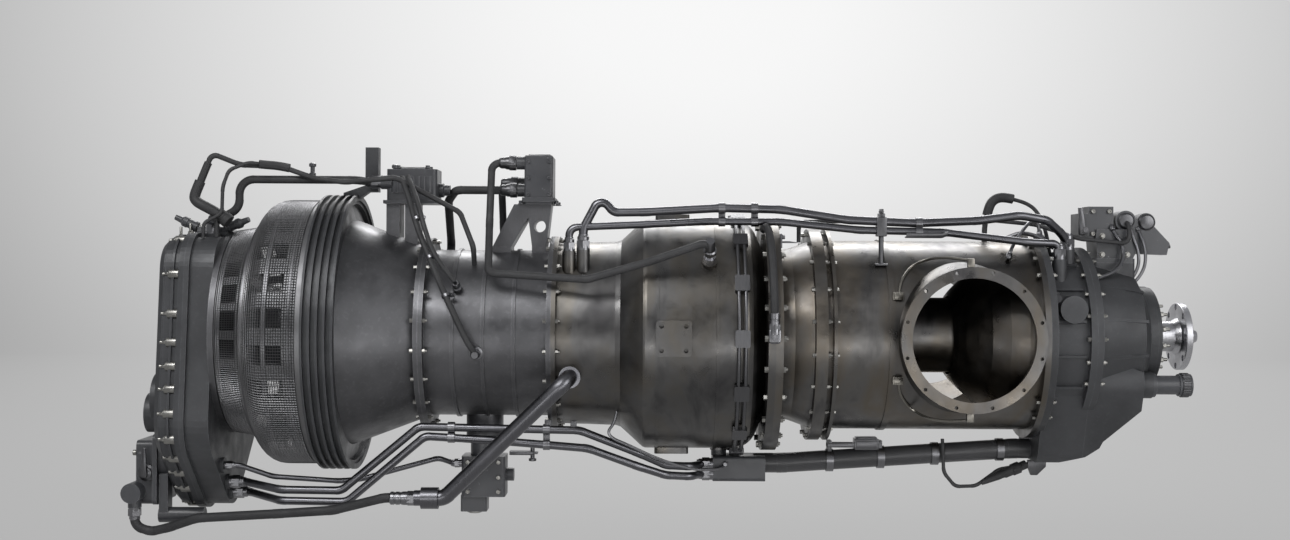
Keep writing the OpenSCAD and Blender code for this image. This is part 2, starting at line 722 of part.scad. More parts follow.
module planet(orbit, phi, teeth, m, x, width, bore, sun) translate(polar(phi, orbit)) difference() {
    gear_x(x, teeth, m, width, mesh_phase(phi, 0, sun, teeth));
    bar_x(x - 1, bore, width + 2);
}
module first_planet(i) color("#b3b4b8") planet(orbit1_r, i * 120, planet1_teeth, stage1_module,
    stage1_x, stage1_w, pin1_r + run_gap, sun1_teeth);
module second_planet(i) color("#b3b4b8") planet(orbit2_r, i * 72, planet2_teeth, stage2_module,
    stage2_x, stage2_w, pin2_r + run_gap, sun2_teeth);
module first_planet_a() first_planet(0);
module first_planet_b() first_planet(1);
module first_planet_c() first_planet(2);
module second_planet_a() second_planet(0);
module second_planet_b() second_planet(1);
module second_planet_c() second_planet(2);
module second_planet_d() second_planet(3);
module second_planet_e() second_planet(4);

// Carrier plates, pins and the pillars between the planets
module spider(x, width, count, orbit, plate_r, hole_r, pin, pillar_orbit, pillar) {
    tube_x(x - 8, plate_r, hole_r, 7.4);
    around(count) translate([0, 0, orbit]) bar_x(x - 4, pin, width + 8);
    around(count, 180 / count) translate([0, 0, pillar_orbit]) bar_x(x - 4, pillar, width + 8);
}

module first_stage_carrier() color("#8e8f93") {
    spider(stage1_x, stage1_w, 3, orbit1_r, 86, 34.5, pin1_r, 62, 12);
    difference() {
        bar_x(718.6, 86, 7.4);
        bar_x(718, 12 + run_gap, 6.6);
    }
    bar_x(725, 24, 28);
    // second sun gear and its end spigot
    gear_x(stage2_x, sun2_teeth, stage2_module, stage2_w, 0);
    bar_x(782, 14, 22);
}

module propeller_shaft() color("#9fa0a3") {
    spider(stage2_x, stage2_w, 5, orbit2_r, 90, 41, pin2_r, 81, 6);
    difference() {
        union() {
            bar_x(782.6, 90, 12);
            bar_x(790, 30, 92);
            bar_x(880, prop_shaft_r, 52);
            revolve([
                [0, x_prop_face - 12], [prop_flange_r - 1, x_prop_face - 12],
                [prop_flange_r, x_prop_face - 11], [prop_flange_r, x_prop_face - 1],
                [prop_flange_r - 1, x_prop_face], [0, x_prop_face]
            ]);
            revolve([
                [20, 923], [prop_shaft_r, 923], [prop_shaft_r + 6, 932.5], [20, 932.5]
            ]);
            bar_x(x_prop_face - 1, 24, 9);
            revolve([[0, x_prop_face], [14, x_prop_face], [14, 961], [10, 969], [0, 969]]);
        }
        bar_x(782, 14 + run_gap, 24);
        around(8) translate([0, 0, prop_pcd / 2]) bar_x(x_prop_face - 20, 5.6, 30);
        bar_x(x_prop_face + 2, 7, 30);
    }
}

// Sump outline seen from the side, and its section
module sump(x0, x1) intersection() {
    extrude_x(x0, x1 - x0) rotate(90) hull() {
        for (side = [-1, 1]) {
            translate([-196, side * 34]) circle(r = 38);
            translate([-80, side * 66]) circle(r = 50);
        }
    }
    rotate([90, 0, 0]) translate([0, 0, -120]) linear_extrude(240) polygon([
        [x_sump, 0], [x_sump, -228], [703, -228], [747, -217], [771, -200], [776, -188],
        [838, -130], [838, -60]
    ]);
}

module reduction_gearbox_rear() color("#565759") difference() {
    union() {
        bar_x(x_duct_front, a_flange_r, 12);
        revolve([[0, 664], [147, 664], [151, 670], [151, 731], [rgb_r, 731], [rgb_r, x_rgb_split],
            [0, x_rgb_split]]);
        sump(650, x_rgb_split);
        // webs between the flange and the drum
        around(16, 11.25) translate([664, -2, 145]) cube([60, 4, 12]);
        for (p = gearbox_seats) translate([p.x, p.y, 90]) cylinder(r = 13, h = p.z - 90);
        // pads of the torque sensor and the tacho drive on the sides
        for (side = [-1, 1]) translate([700, side * 120, 52]) rotate([-side * 90, 0, 0])
            cylinder(r = 24, h = 44);
    }
    bar_x(672, 117.3, 62);
    bar_x(x_duct_front - 1, 26, 20);
    bar_x(733.9, 148, 10);
    above_sump() bar_x(730, 2.2, x_rgb_split - 729);
    beside_ports() bar_x(x_duct_front - 1, 2.6, 14);
    translate([0, 0, scavenge_z]) bar_x(x_sump - 10, 12, 40);
}

module reduction_gearbox_front() color("#5c5d5f") difference() {
    union() {
        revolve([
            [0, x_rgb_split], [rgb_r, x_rgb_split], [rgb_r, x_rgb_split + 11],
            [149, x_rgb_split + 11], [137, 758],
            [129, 790], [115, 842], [98, 852], [92, 858], [92, x_nose], [0, x_nose]
        ]);
        sump(x_rgb_split, 853);
        // webs on the cone, left out under the governor
        for (a = [45:30:315]) rotate([a, 0, 0]) translate([758, -2.5, 106]) rotate([0, 12.5, 0])
            cube([84, 5, 30]);
        // governor seat
        translate([806, 0, 60]) linear_extrude(governor_z - 60) offset(8, $fn = 32)
            square([62, 64], center = true);
        // speed sensor boss
        translate([0, sensor_y, sensor_z]) bar_x(800, 24, 60);
    }
    bar_x(x_rgb_split - 1, 110, 9.1);
    bar_x(x_rgb_split - 1, 117, stage2_x + stage2_w + 3 - x_rgb_split);
    revolve([[0, 780], [110, 780], [104, 800], [60, 832], [0, 832]]);
    bar_x(830, 46, 60);
    above_sump() bar_x(x_rgb_split - 1, 2.2, 13);
    around(10, 18) translate([0, 0, 85]) bar_x(x_nose - 12, 2.6, 20);
}

module thrust_bearing_cover() color("#66676a") difference() {
    revolve(concat(
        [[34, x_nose], [90, x_nose], [90, x_nose + 7], [76, x_nose + 10]],
        arc_points([50, x_nose], 18, 34, 80, 4),
        [[46, x_nose + 19], [34, x_nose + 19]]
    ));
    around(10, 18) translate([0, 0, 85]) bar_x(x_nose - 1, 2.6, 12);
}

// ---------------------------------------------------------------- units on the outside

module fuel_nozzles() color("#8b8c8e") {
    around(nozzle_count, 180 / nozzle_count) {
        translate([nozzle_x, 0, 213]) linear_extrude(9) offset(3, $fn = 24)
            square([20, 24], center = true);
        translate([nozzle_x, 0, 158]) cylinder(r = 5.5, h = 58);
        translate([0, 0, 158]) bar_x(104, 5.5, nozzle_x - 104);
    }
    // transfer rings between the nozzle adapters
    for (dx = [-6, 6]) translate([nozzle_x + dx, 0, 0]) rotate([0, 90, 0]) rotate_extrude()
        translate([218, 0]) circle(r = 3.2, $fn = 24);
    // feed from the divider block
    translate([nozzle_x, 0, divider_z + 5.2]) cylinder(r = 7, h = 7);
}

module igniter_plugs() color("#9a9a98") for (a = [-1, 1]) rotate([a * igniter_angle, 0, 0])
    translate([igniter_x, 0, 0]) {
        translate([0, 0, 190]) cylinder(r = 6, h = 30);
        translate([0, 0, gg_case_r + 8]) cylinder(r = 11, h = 10, $fn = 6);
        translate([0, 0, gg_case_r + 17]) cylinder(r = 7, h = 17);
    }

module flow_divider() color("#58595b") {
    translate([76, 0, divider_z - 18]) rotate([0, 90, 0]) linear_extrude(96) offset(6, $fn = 24)
        square([34, 56], center = true);
    translate([88, 0, divider_z + 4]) cylinder(r = 14, h = 10);
    translate([152, 0, divider_z - 18]) rotate([0, 90, 0]) cylinder(r = 26, h = 20);
}

module bleed_valve() color("#606163") translate([-344, 0, 0]) {
    translate([0, 0, -192]) cylinder(r = 34, h = 6);
    translate([0, 0, -232]) cylinder(r = 26, h = 42);
    translate([0, 0, -300]) linear_extrude(74) offset(6, $fn = 24) square([68, 52], center = true);
    translate([-18, 0, -328]) linear_extrude(30) offset(4, $fn = 24) square([40, 40], center = true);
    translate([30, 0, -262]) rotate([0, 90, 0]) cylinder(r = 12, h = 24);
}

// Plate frame that carries the ignition exciter over the compressor casing
module exciter_bracket() color("#7c7d7f") translate([0, 32, 0]) rotate([90, 0, 0]) linear_extrude(64)
    difference() {
        polygon([
            [-329, 158], [-295, 158], [-264, 212], [-257, 158], [-231, 158], [-222, 236],
            [-290, 236]
        ]);
        translate([-243, 196]) circle(r = 11, $fn = 32);
    }

module ignition_exciter() color("#3f4042") {
    translate([-245, 0, 236]) linear_extrude(87) offset(5, $fn = 24) square([42, 76], center = true);
    translate([-245, 0, 240]) linear_extrude(8) offset(5, $fn = 24) square([50, 84], center = true);
    for (side = [-1, 1]) translate([-268, side * 22, 294 - side * 18])
        rotate([0, -90, 0]) cylinder(r = 12, h = 18);
    translate([-286, 0, 263]) rotate([0, 90, 0]) cylinder(r = 12, h = 18);
}

module fuel_heater() color("#484a4c") {
    translate([-477, 0, heater_z]) linear_extrude(6) offset(4, $fn = 24) square([96, 72], center = true);
    translate([-477, 0, heater_z + 5]) linear_extrude(58) offset(8, $fn = 24)
        square([76, 58], center = true);
    for (i = [0:6]) translate([-507 + i * 10, 0, heater_z + 20]) linear_extrude(30) offset(8, $fn = 24)
        square([2, 64], center = true);
    translate([-533, -30, heater_z + 39]) rotate([0, 90, 0]) cylinder(r = 13, h = 20);
}

module propeller_governor() color("#4c4d4f") {
    translate([806, 0, governor_z]) linear_extrude(8) offset(8, $fn = 32) square([62, 64], center = true);
    translate([0, 32, 0]) rotate([90, 0, 0]) linear_extrude(64) polygon([
        [778, 138], [840, 138], [847, 152], [842, 186], [826, 196], [776, 196], [774, 180]
    ]);
    // speed setting head
    translate([0, 26, 0]) rotate([90, 0, 0]) linear_extrude(52) polygon([
        [744, 187], [756, 178], [808, 178], [808, 238], [762, 238], [762, 225], [744, 225]
    ]);
    for (p = [[832, 212, 19, 44], [871, 210, 17, 34]]) translate([p[0], p[3] / 2, p[1]])
        rotate([90, 0, 0]) cylinder(r = p[2], h = p[3]);
    // beta valve body, leaning forward
    translate([0, 18, 0]) rotate([90, 0, 0]) linear_extrude(36) polygon([
        [840, 166], [858, 152], [909, 150], [914, 172], [882, 206], [850, 214], [836, 204]
    ]);
}

module speed_sensor() color("#5f6062") translate([0, sensor_y, sensor_z]) {
    bar_x(860, 22, 6);
    bar_x(865, 17, 45);
    bar_x(909, 20, 22);
}

// ---------------------------------------------------------------- tubes, hoses and wiring

module scavenge_tube() color("#3c3d3f") pipe([
    [172, 0, -238], [204, 0, -238], [630, 0, scavenge_z], [x_sump, 0, scavenge_z]
], 18.5, 70);

module bleed_air_tube() color("#76777a") {
    pipe([
        [bleed_x, -174, bleed_z], [bleed_x, -206, bleed_z], [-400, -150, -285], [-452, -150, -285]
    ], 14, 24);
    bar_at([-440, -150, -285], 19, 30);
    translate([bleed_x, -174, bleed_z]) rotate([90, 0, 0]) cylinder(r = 19, h = 7);
}

module top_tubes() color("#4f5052") {
    pipe([
        case_tube_seats[0], [-160, -115, 190], [-130, -115, 247], [-106, -115, 219],
        [-50, -115, 220], [85, -115, 228], [190, -115, 226], [310, -115, 208], [430, -115, 203],
        [540, -115, 208], [616, -112, 218], [668, -98, 210], [700, -78, 186], [712, -70, 170],
        gearbox_seats[0]
    ], 8, 14);
    pipe([
        case_tube_seats[1], [-185, -115, 192], [-50, -115, 198], [60, -115, 204],
        [190, -115, 204], [330, -115, 190], [480, -115, 187], [630, -115, 170], [690, -100, 168],
        gearbox_seats[1]
    ], 7, 16);
}

module lower_tubes() color("#545557") {
    pipe([
        lower_seats[0], [-775, -48, -272], [-700, -92, -280], [-590, -100, -280],
        [-452, -100, -165], [-165, -100, -170], [-60, -84, -212], [-10, -64, -236],
        [34, -62, -238], [58, -24, -238], [76, -24, -238]
    ], 7.5, 18);
    pipe([
        lower_seats[1], [-775, -20, -294], [-700, -90, -300], [-580, -100, -300],
        [-441, -100, -182], [-330, -100, -188], [-150, -100, -202], [-60, -84, -236], [-10, -64, -254],
        [34, -62, -256], [58, -24, -256], [76, -24, -256]
    ], 7.5, 18);
    pipe([
        lower_seats[2], [-775, -84, -238], [-720, -66, -260], [-600, -62, -268],
        [-560, -60, -264], [-425, -40, -228], [-400, -16, -240], [-384.3, -16, -240]
    ], 5, 14);
}

module rear_hoses() color("#2c2c2d") {
    pipe([
        [-971, -62, -318.4], [-971, -62, -352], [-940, -64, -361], [-905, -72, -352],
        [-850, -90, -332], [-700, -112, -320], [-600, -120, -312], [-505, -150, -285],
        [-452.4, -150, -285]
    ], 8.5, 20);
    pipe([
        [-832, -60, 178], [-832, -60, 200], [-785, -60, 224], [-785, -60, 277],
        [-575, -60, 277], [-552, -30, 275], [-533.4, -30, 275]
    ], 7.5, 26);
}

module wiring_harness() color("#252526") {
    // main loom, from the rear gearbox over the inlet and down beside the compressor
    pipe([
        [-818, -90, 172.2], [-818, -90, 216], [-862, -84, 237], [-830, -80, 322], [-779, -76, 302],
        [-707, -72, 300], [-644, -77, 278], [-590, -77, 272], [-500, -72, 281], [-384, -72, 219],
        [-356, -108, 157], [-356, -86.3, 125.6]
    ], 5, 12);
    // second lead, joining the loom
    pipe([
        [-838, -104, 170.4], [-838, -104, 196], [-806, -100, 214], [-806, -96, 262],
        [-796, -92, 292], [-762, -86, 306], [-707, -72, 300]
    ], 3.5, 12);
    // supply of the exciter
    pipe([
        [-286, 0, 263], [-400, 0, 263], [-420, 44, 244], [-424, 128, 162.5], [-424, 94.4, 119.7]
    ], 8, 16);
    // igniter leads
    for (side = [-1, 1]) pipe([
        [-286, side * 22, 294 - side * 18], [-325 + side * 7, side * 22, 294 - side * 18],
        [-325 + side * 7, side * 60, 200],
        [-325, side * 150, 110], [-150, side * 186, 100], [-40, side * 204, 132],
        polar_point(igniter_x, -side * igniter_angle, gg_case_r + 62),
        polar_point(igniter_x, -side * igniter_angle, gg_case_r + 34)
    ], 7, 16);
    // propeller governor lead
    pipe([
        [832, -22, 208], [832, -40, 208], [832, -46, 170], [740, -50, 178],
        [660, -44, 204], [560, -62, 212], [226, -80, 205], [226, -80, 168]
    ], 4, 14);
    // chip detector lead
    pipe([
        [498, -20, -190], [498, -34, -250], [520, -30, -276], [560, -20, -276], [606, 0, -248],
        [x_sump + 4, 0, -236]
    ], 3.5, 12);
}

module flange_bolts() color("#7b7c80") {
    flange_bolt_ring(163, x_c_flange + flange_t, 204, 24, 10);
    flange_bolt_ring(x_duct_rear - 11, x_duct_rear + 10, duct_flange_r - 8, 20, 7, 9);
    flange_bolt_ring(x_gg_rear - 8, x_gg_rear + 8, 172.5, 20, 7, 9);
    flange_bolt_ring(-454, x_inlet_front + 8, 168.5, 20, 7, 9);
    beside_ports() flange_bolt(x_duct_front - 10, x_duct_front + 12, 0, 8);
    above_sump() flange_bolt(731, x_rgb_split + 11, 0, 7);
}

gas_generator_case();
compressor_case();
compressor_stator();
compressor_inlet_case();
inlet_screen();
inlet_seal_ring();
accessory_gearbox_housing();
accessory_gearbox_cover();
diffuser();
combustion_liner();
compressor_turbine_vanes();
power_turbine_vanes();
power_turbine_case();
turbine_bearing_housing();
exhaust_duct();
reduction_gearbox_rear();
reduction_gearbox_front();
first_ring_gear();
second_ring_gear();
thrust_bearing_cover();
main_bearings();
fuel_nozzles();
igniter_plugs();
flow_divider();
bleed_valve();
fuel_pump();
exciter_bracket();
ignition_exciter();
fuel_heater();
propeller_governor();
speed_sensor();
scavenge_tube();
bleed_air_tube();
top_tubes();
lower_tubes();
rear_hoses();
wiring_harness();
flange_bolts();
gas_generator_shaft();
compressor_rotor();
compressor_impeller();
compressor_turbine_disc();
starter_drive_gear();
idler_gear();
fuel_pump_drive_gear();
oil_pump_drive_gear();
generator_drive_gear();
power_turbine_shaft();
power_turbine_discs();
first_stage_carrier();
first_planet_a();
first_planet_b();
first_planet_c();
propeller_shaft();
second_planet_a();
second_planet_b();
second_planet_c();
second_planet_d();
second_planet_e();
oil_filler_cap();
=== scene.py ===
"""Dresses the turboprop engine: finishes for every part, small hardware, and a studio."""
import math

import bmesh
import bpy
from mathutils import Matrix, Vector


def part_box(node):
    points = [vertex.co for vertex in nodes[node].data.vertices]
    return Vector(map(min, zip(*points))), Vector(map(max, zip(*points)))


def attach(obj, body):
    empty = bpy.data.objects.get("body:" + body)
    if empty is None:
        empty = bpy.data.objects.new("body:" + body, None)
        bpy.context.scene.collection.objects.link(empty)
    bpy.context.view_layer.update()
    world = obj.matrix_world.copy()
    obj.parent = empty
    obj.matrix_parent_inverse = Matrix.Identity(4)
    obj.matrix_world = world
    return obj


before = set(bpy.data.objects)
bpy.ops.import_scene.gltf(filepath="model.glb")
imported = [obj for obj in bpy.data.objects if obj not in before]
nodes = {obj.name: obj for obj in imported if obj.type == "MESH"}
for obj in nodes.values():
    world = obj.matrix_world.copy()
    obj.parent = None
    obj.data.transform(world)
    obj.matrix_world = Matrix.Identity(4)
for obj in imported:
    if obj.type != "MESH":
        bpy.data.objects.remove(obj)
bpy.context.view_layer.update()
MM = 0.001

# ---------------------------------------------------------------- materials


class Finish:
    """A small builder for a procedural material on Object coordinates."""

    def __init__(self, name, metallic=0.0, specular=0.5):
        self.mat = bpy.data.materials.new(name)
        self.mat.use_nodes = True
        self.tree = self.mat.node_tree
        self.shader = self.tree.nodes["Principled BSDF"]
        self.shader.inputs["Metallic"].default_value = metallic
        self.shader.inputs["Specular IOR Level"].default_value = specular
        self.where = self.node("ShaderNodeTexCoord").outputs["Object"]

    def node(self, kind, **settings):
        made = self.tree.nodes.new(kind)
        for key, value in settings.items():
            setattr(made, key, value)
        return made

    def link(self, source, target):
        self.tree.links.new(source, target)

    def noise(self, scale, detail=4.0, rough=0.55, stretch=None, distortion=0.0):
        made = self.node("ShaderNodeTexNoise")
        made.inputs["Scale"].default_value = scale
        made.inputs["Detail"].default_value = detail
        made.inputs["Roughness"].default_value = rough
        made.inputs["Distortion"].default_value = distortion
        if stretch:
            place = self.node("ShaderNodeMapping")
            place.inputs["Scale"].default_value = stretch
            self.link(self.where, place.inputs["Vector"])
            self.link(place.outputs["Vector"], made.inputs["Vector"])
        else:
            self.link(self.where, made.inputs["Vector"])
        return made.outputs["Fac"]

    def ramp(self, factor, stops):
        made = self.node("ShaderNodeValToRGB")
        while len(made.color_ramp.elements) < len(stops):
            made.color_ramp.elements.new(0.5)
        for element, (place, colour) in zip(made.color_ramp.elements, stops):
            element.position = place
            element.color = (*colour, 1.0)
        self.link(factor, made.inputs["Fac"])
        return made.outputs["Color"]

    def spread(self, factor, low, high, at=(0.3, 0.7)):
        made = self.node("ShaderNodeMapRange")
        for key, value in zip(("From Min", "From Max", "To Min", "To Max"), (*at, low, high)):
            made.inputs[key].default_value = value
        self.link(factor, made.inputs["Value"])
        return made.outputs["Result"]

    def mix(self, factor, a, b, blend="MIX"):
        made = self.node("ShaderNodeMix", data_type="RGBA", blend_type=blend)
        for slot, value in ((0, factor), (6, a), (7, b)):
            if isinstance(value, bpy.types.NodeSocket):
                self.link(value, made.inputs[slot])
            elif isinstance(value, tuple):
                made.inputs[slot].default_value = (*value, 1.0)
            else:
                made.inputs[slot].default_value = value
        return made.outputs[2]

    def rubbed(self, width, grain=60.0):
        """Patchy wear along sharp edges: 1 on a rubbed edge, 0 on a flat face."""
        rounded = self.node("ShaderNodeBevel", samples=4)
        rounded.inputs["Radius"].default_value = width
        face = self.node("ShaderNodeNewGeometry")
        turn = self.node("ShaderNodeVectorMath", operation="DOT_PRODUCT")
        self.link(rounded.outputs["Normal"], turn.inputs[0])
        self.link(face.outputs["Normal"], turn.inputs[1])
        edge = self.spread(turn.outputs["Value"], 1.0, 0.0, (0.72, 0.96))
        patch = self.spread(self.noise(grain, 5.0, 0.7), 0.0, 1.0, (0.38, 0.62))
        both = self.node("ShaderNodeMath", operation="MULTIPLY")
        self.link(edge, both.inputs[0])
        self.link(patch, both.inputs[1])
        return both.outputs["Value"]

    def colour(self, socket):
        self.link(socket, self.shader.inputs["Base Color"])

    def roughness(self, socket):
        self.link(socket, self.shader.inputs["Roughness"])

    def bump(self, height, strength, distance):
        made = self.node("ShaderNodeBump")
        made.inputs["Strength"].default_value = strength
        made.inputs["Distance"].default_value = distance
        self.link(height, made.inputs["Height"])
        self.link(made.outputs["Normal"], self.shader.inputs["Normal"])


def scaled(colour, k):
    return tuple(min(1.0, c * k) for c in colour)


def cast_finish(name, colour, metallic, rough, grain=900.0, strength=0.35):
    """Cast metal: sandy grain, faint stains and rubbed patches."""
    f = Finish(name, metallic)
    stain = f.noise(9.0, 5.0, 0.6)
    base = f.ramp(stain, [
        (0.3, scaled(colour, 0.72)), (0.52, colour), (0.75, scaled(colour, 1.22))])
    speck = f.spread(f.noise(140.0, 3.0), 0.0, 0.35, (0.55, 0.72))
    sandy = f.mix(speck, base, scaled(colour, 1.5))
    f.colour(f.mix(f.rubbed(0.0022), sandy, scaled(colour, 2.6)))
    f.roughness(f.spread(f.noise(30.0, 4.0), rough - 0.1, rough + 0.12))
    f.bump(f.noise(grain, 4.0, 0.7), strength, 0.0004)
    return f.mat


def turned_finish(name, colour, rough=0.3):
    """Turned steel: fine rings round the shaft line."""
    f = Finish(name, 1.0)
    rings = f.noise(60.0, 5.0, 0.7, stretch=(26.0, 1.0, 1.0))
    f.colour(f.ramp(rings, [(0.3, scaled(colour, 0.8)), (0.7, scaled(colour, 1.15))]))
    f.roughness(f.spread(f.noise(18.0, 3.0), rough - 0.08, rough + 0.12))
    f.bump(rings, 0.25, 0.0002)
    return f.mat


def hot_finish(name, colour, tint, shade):
    """Heat tinted sheet: straw, brown and blue stains over brushed metal."""
    f = Finish(name, 1.0)
    bands = f.noise(5.0, 4.0, 0.6, stretch=(2.2, 1.0, 1.0), distortion=0.4)
    heat = f.ramp(bands, [(0.28, shade), (0.44, colour), (0.6, tint), (0.78, scaled(colour, 1.2))])
    soot = f.spread(f.noise(2.4, 5.0, 0.65), 0.0, 0.55, (0.5, 0.75))
    f.colour(f.mix(soot, heat, scaled(shade, 0.5)))
    f.roughness(f.spread(f.noise(24.0, 5.0), 0.24, 0.5))
    f.bump(f.noise(220.0, 3.0, 0.6, stretch=(1.0, 6.0, 6.0)), 0.12, 0.0003)
    return f.mat


def painted_finish(name, colour, rough=0.4, chips=0.16):
    """Baked paint with small chips and a faint orange peel."""
    f = Finish(name, 0.0)
    body = f.ramp(f.noise(7.0, 4.0), [(0.3, scaled(colour, 0.8)), (0.7, scaled(colour, 1.15))])
    chip = f.spread(f.noise(85.0, 6.0, 0.75), 0.0, 1.0, (0.7 - chips * 0.3, 0.72))
    chipped = f.mix(chip, body, (0.26, 0.26, 0.27))
    f.colour(f.mix(f.rubbed(0.0016, 90.0), chipped, (0.2, 0.2, 0.21)))
    f.roughness(f.spread(f.noise(20.0, 3.0), rough - 0.08, rough + 0.12))
    f.bump(f.noise(420.0, 2.0), 0.1, 0.0003)
    return f.mat


def rubber_finish(name, colour, weave=0.0):
    """Rubber or braid, dull and slightly dusty."""
    f = Finish(name, 0.0, 0.35)
    dust = f.spread(f.noise(24.0, 4.0), 0.0, 0.5)
    f.colour(f.mix(dust, colour, scaled(colour, 2.2)))
    f.roughness(f.spread(f.noise(40.0, 3.0), 0.5, 0.75))
    f.bump(f.noise(700.0 if weave else 260.0, 3.0), 0.3 + weave, 0.0004)
    return f.mat


finishes = {
    "casting": cast_finish("grey_casting", (0.095, 0.095, 0.1), 0.85, 0.4),
    "dark_casting": cast_finish("dark_magnesium_casting", (0.040, 0.041, 0.044), 0.35, 0.48),
    "cover": cast_finish("black_cast_cover", (0.032, 0.033, 0.036), 0.3, 0.45),
    "hot": hot_finish(
        "tinted_nickel_sheet", (0.135, 0.131, 0.127), (0.14, 0.124, 0.104), (0.055, 0.053, 0.058)),
    "case": hot_finish(
        "welded_steel_case", (0.115, 0.113, 0.112), (0.122, 0.113, 0.1), (0.055, 0.054, 0.056)),
    "steel": turned_finish("turned_steel", (0.46, 0.46, 0.48)),
    "dark_steel": turned_finish("dark_steel", (0.11, 0.11, 0.115), 0.36),
    "tube": turned_finish("drawn_tube", (0.13, 0.13, 0.14), 0.3),
    "black_tube": painted_finish("black_pipe_paint", (0.03, 0.03, 0.032), 0.32, 0.05),
    "unit": painted_finish("black_unit_paint", (0.035, 0.036, 0.04), 0.38),
    "hose": rubber_finish("hose_cover", (0.016, 0.016, 0.017)),
    "loom": rubber_finish("loom_sleeve", (0.02, 0.02, 0.021), 0.4),
    "screen": turned_finish("woven_screen", (0.17, 0.17, 0.175), 0.42),
    "bolt": turned_finish("plated_bolt", (0.27, 0.265, 0.25), 0.32),
    "fitting": turned_finish("plated_fitting", (0.2, 0.2, 0.21), 0.3),
    "lead": turned_finish("sheathed_lead", (0.2, 0.19, 0.17), 0.35),
    "rubber": rubber_finish("moulded_boot", (0.018, 0.018, 0.019)),
}

finish_of = {
    "gas_generator_case": "case",
    "compressor_case": "casting",
    "compressor_stator": "steel",
    "compressor_inlet_case": "casting",
    "inlet_screen": "screen",
    "inlet_seal_ring": "cover",
    "accessory_gearbox_housing": "dark_casting",
    "accessory_gearbox_cover": "cover",
    "diffuser": "steel",
    "combustion_liner": "hot",
    "compressor_turbine_vanes": "hot",
    "power_turbine_vanes": "hot",
    "power_turbine_case": "hot",
    "turbine_bearing_housing": "hot",
    "exhaust_duct": "hot",
    "reduction_gearbox_rear": "dark_casting",
    "reduction_gearbox_front": "dark_casting",
    "thrust_bearing_cover": "dark_casting",
    "fuel_nozzles": "dark_steel",
    "igniter_plugs": "steel",
    "flow_divider": "unit",
    "bleed_valve": "unit",
    "fuel_pump": "unit",
    "exciter_bracket": "dark_steel",
    "ignition_exciter": "unit",
    "fuel_heater": "unit",
    "propeller_governor": "unit",
    "speed_sensor": "unit",
    "scavenge_tube": "black_tube",
    "bleed_air_tube": "tube",
    "top_tubes": "tube",
    "lower_tubes": "tube",
    "rear_hoses": "hose",
    "wiring_harness": "loom",
    "flange_bolts": "bolt",
    "oil_filler_cap": "unit",
}

for name, node in nodes.items():
    node.data.materials.clear()
    node.data.materials.append(finishes[finish_of.get(name, "steel")])

# ---------------------------------------------------------------- modelling
# Sizes and places below are in millimetres, in the frame of the CAD

UP, DOWN, FORWARD, REAR = (0, 0, 1), (0, 0, -1), (1, 0, 0), (-1, 0, 0)
NEAR, FAR = (0, -1, 0), (0, 1, 0)
SMOOTH_BELOW = math.radians(35)   # faces that meet at less than this shade as one surface
BREAK_ABOVE = math.radians(40)    # edges sharper than this are broken by the bevel
FLAT = 0.9                        # how squarely a face looks along an axis to count as its end


def mm(x, y, z):
    return Vector((x, y, z)) * MM


def alone():
    """Leaves edit mode with nothing selected."""
    if bpy.context.object and bpy.context.object.mode == "EDIT":
        bpy.ops.object.mode_set(mode="OBJECT")
    bpy.ops.object.select_all(action="DESELECT")


def opened(name):
    """The primitive just added, with its place in its mesh, open with nothing selected."""
    bpy.ops.object.transform_apply(location=True, rotation=True, scale=True)
    piece = bpy.context.object
    piece.name = piece.data.name = name
    bpy.ops.object.mode_set(mode="EDIT")
    bpy.ops.mesh.select_mode(type="FACE")
    bpy.ops.mesh.select_all(action="DESELECT")
    return piece


def drum(name, radius, depth, sides=24):
    """A drum with its foot on Z = 0."""
    alone()
    bpy.ops.mesh.primitive_cylinder_add(
        vertices=sides, radius=radius * MM, depth=depth * MM, location=mm(0, 0, depth / 2))
    return opened(name)


def block(name, size, middle=(0, 0, 0)):
    alone()
    bpy.ops.mesh.primitive_cube_add(size=1, location=mm(*middle), scale=mm(*size))
    return opened(name)


def pick_end(piece, way=1):
    """Picks the flat end that lies furthest along Z, or against it."""
    mesh = bmesh.from_edit_mesh(piece.data)
    heights = [way * face.calc_center_median().z for face in mesh.faces]
    for face in mesh.faces:
        face.select_set(False)
    for face, height in zip(mesh.faces, heights):
        if height > max(heights) - 1e-5 and abs(face.normal.z) > FLAT:
            face.select_set(True)
    bmesh.update_edit_mesh(piece.data)


def pick(piece, test):
    """Picks the faces whose middle and direction pass a test."""
    mesh = bmesh.from_edit_mesh(piece.data)
    chosen = [face for face in mesh.faces if test(face.calc_center_median(), face.normal)]
    for face in mesh.faces:
        face.select_set(False)
    for face in chosen:
        face.select_set(True)
    bmesh.update_edit_mesh(piece.data)


def pick_edges(piece, test):
    """Picks the edges whose middle passes a test."""
    mesh = bmesh.from_edit_mesh(piece.data)
    for edge in mesh.edges:
        edge.select_set(False)
    for edge in mesh.edges:
        if test((edge.verts[0].co + edge.verts[1].co) / 2):
            edge.select_set(True)
    bmesh.update_edit_mesh(piece.data)


def pick_side(piece, axis, way):
    """Picks the faces that look along an axis (0, 1 or 2), or against it."""
    pick(piece, lambda middle, normal: way * normal[axis] > FLAT)


def extrude(x, y, z):
    bpy.ops.mesh.extrude_region_move(TRANSFORM_OT_translate={"value": mm(x, y, z)})


def shift(x, y, z):
    bpy.ops.transform.translate(value=mm(x, y, z))


def squeeze(scale, about):
    bpy.ops.transform.resize(value=scale, center_override=mm(*about))


def draw_in(edge=0.0, rise=0.0):
    """Insets the picked faces, then pulls them out along Z."""
    if edge:
        bpy.ops.mesh.inset(thickness=edge * MM)
    if rise:
        extrude(0, 0, rise)


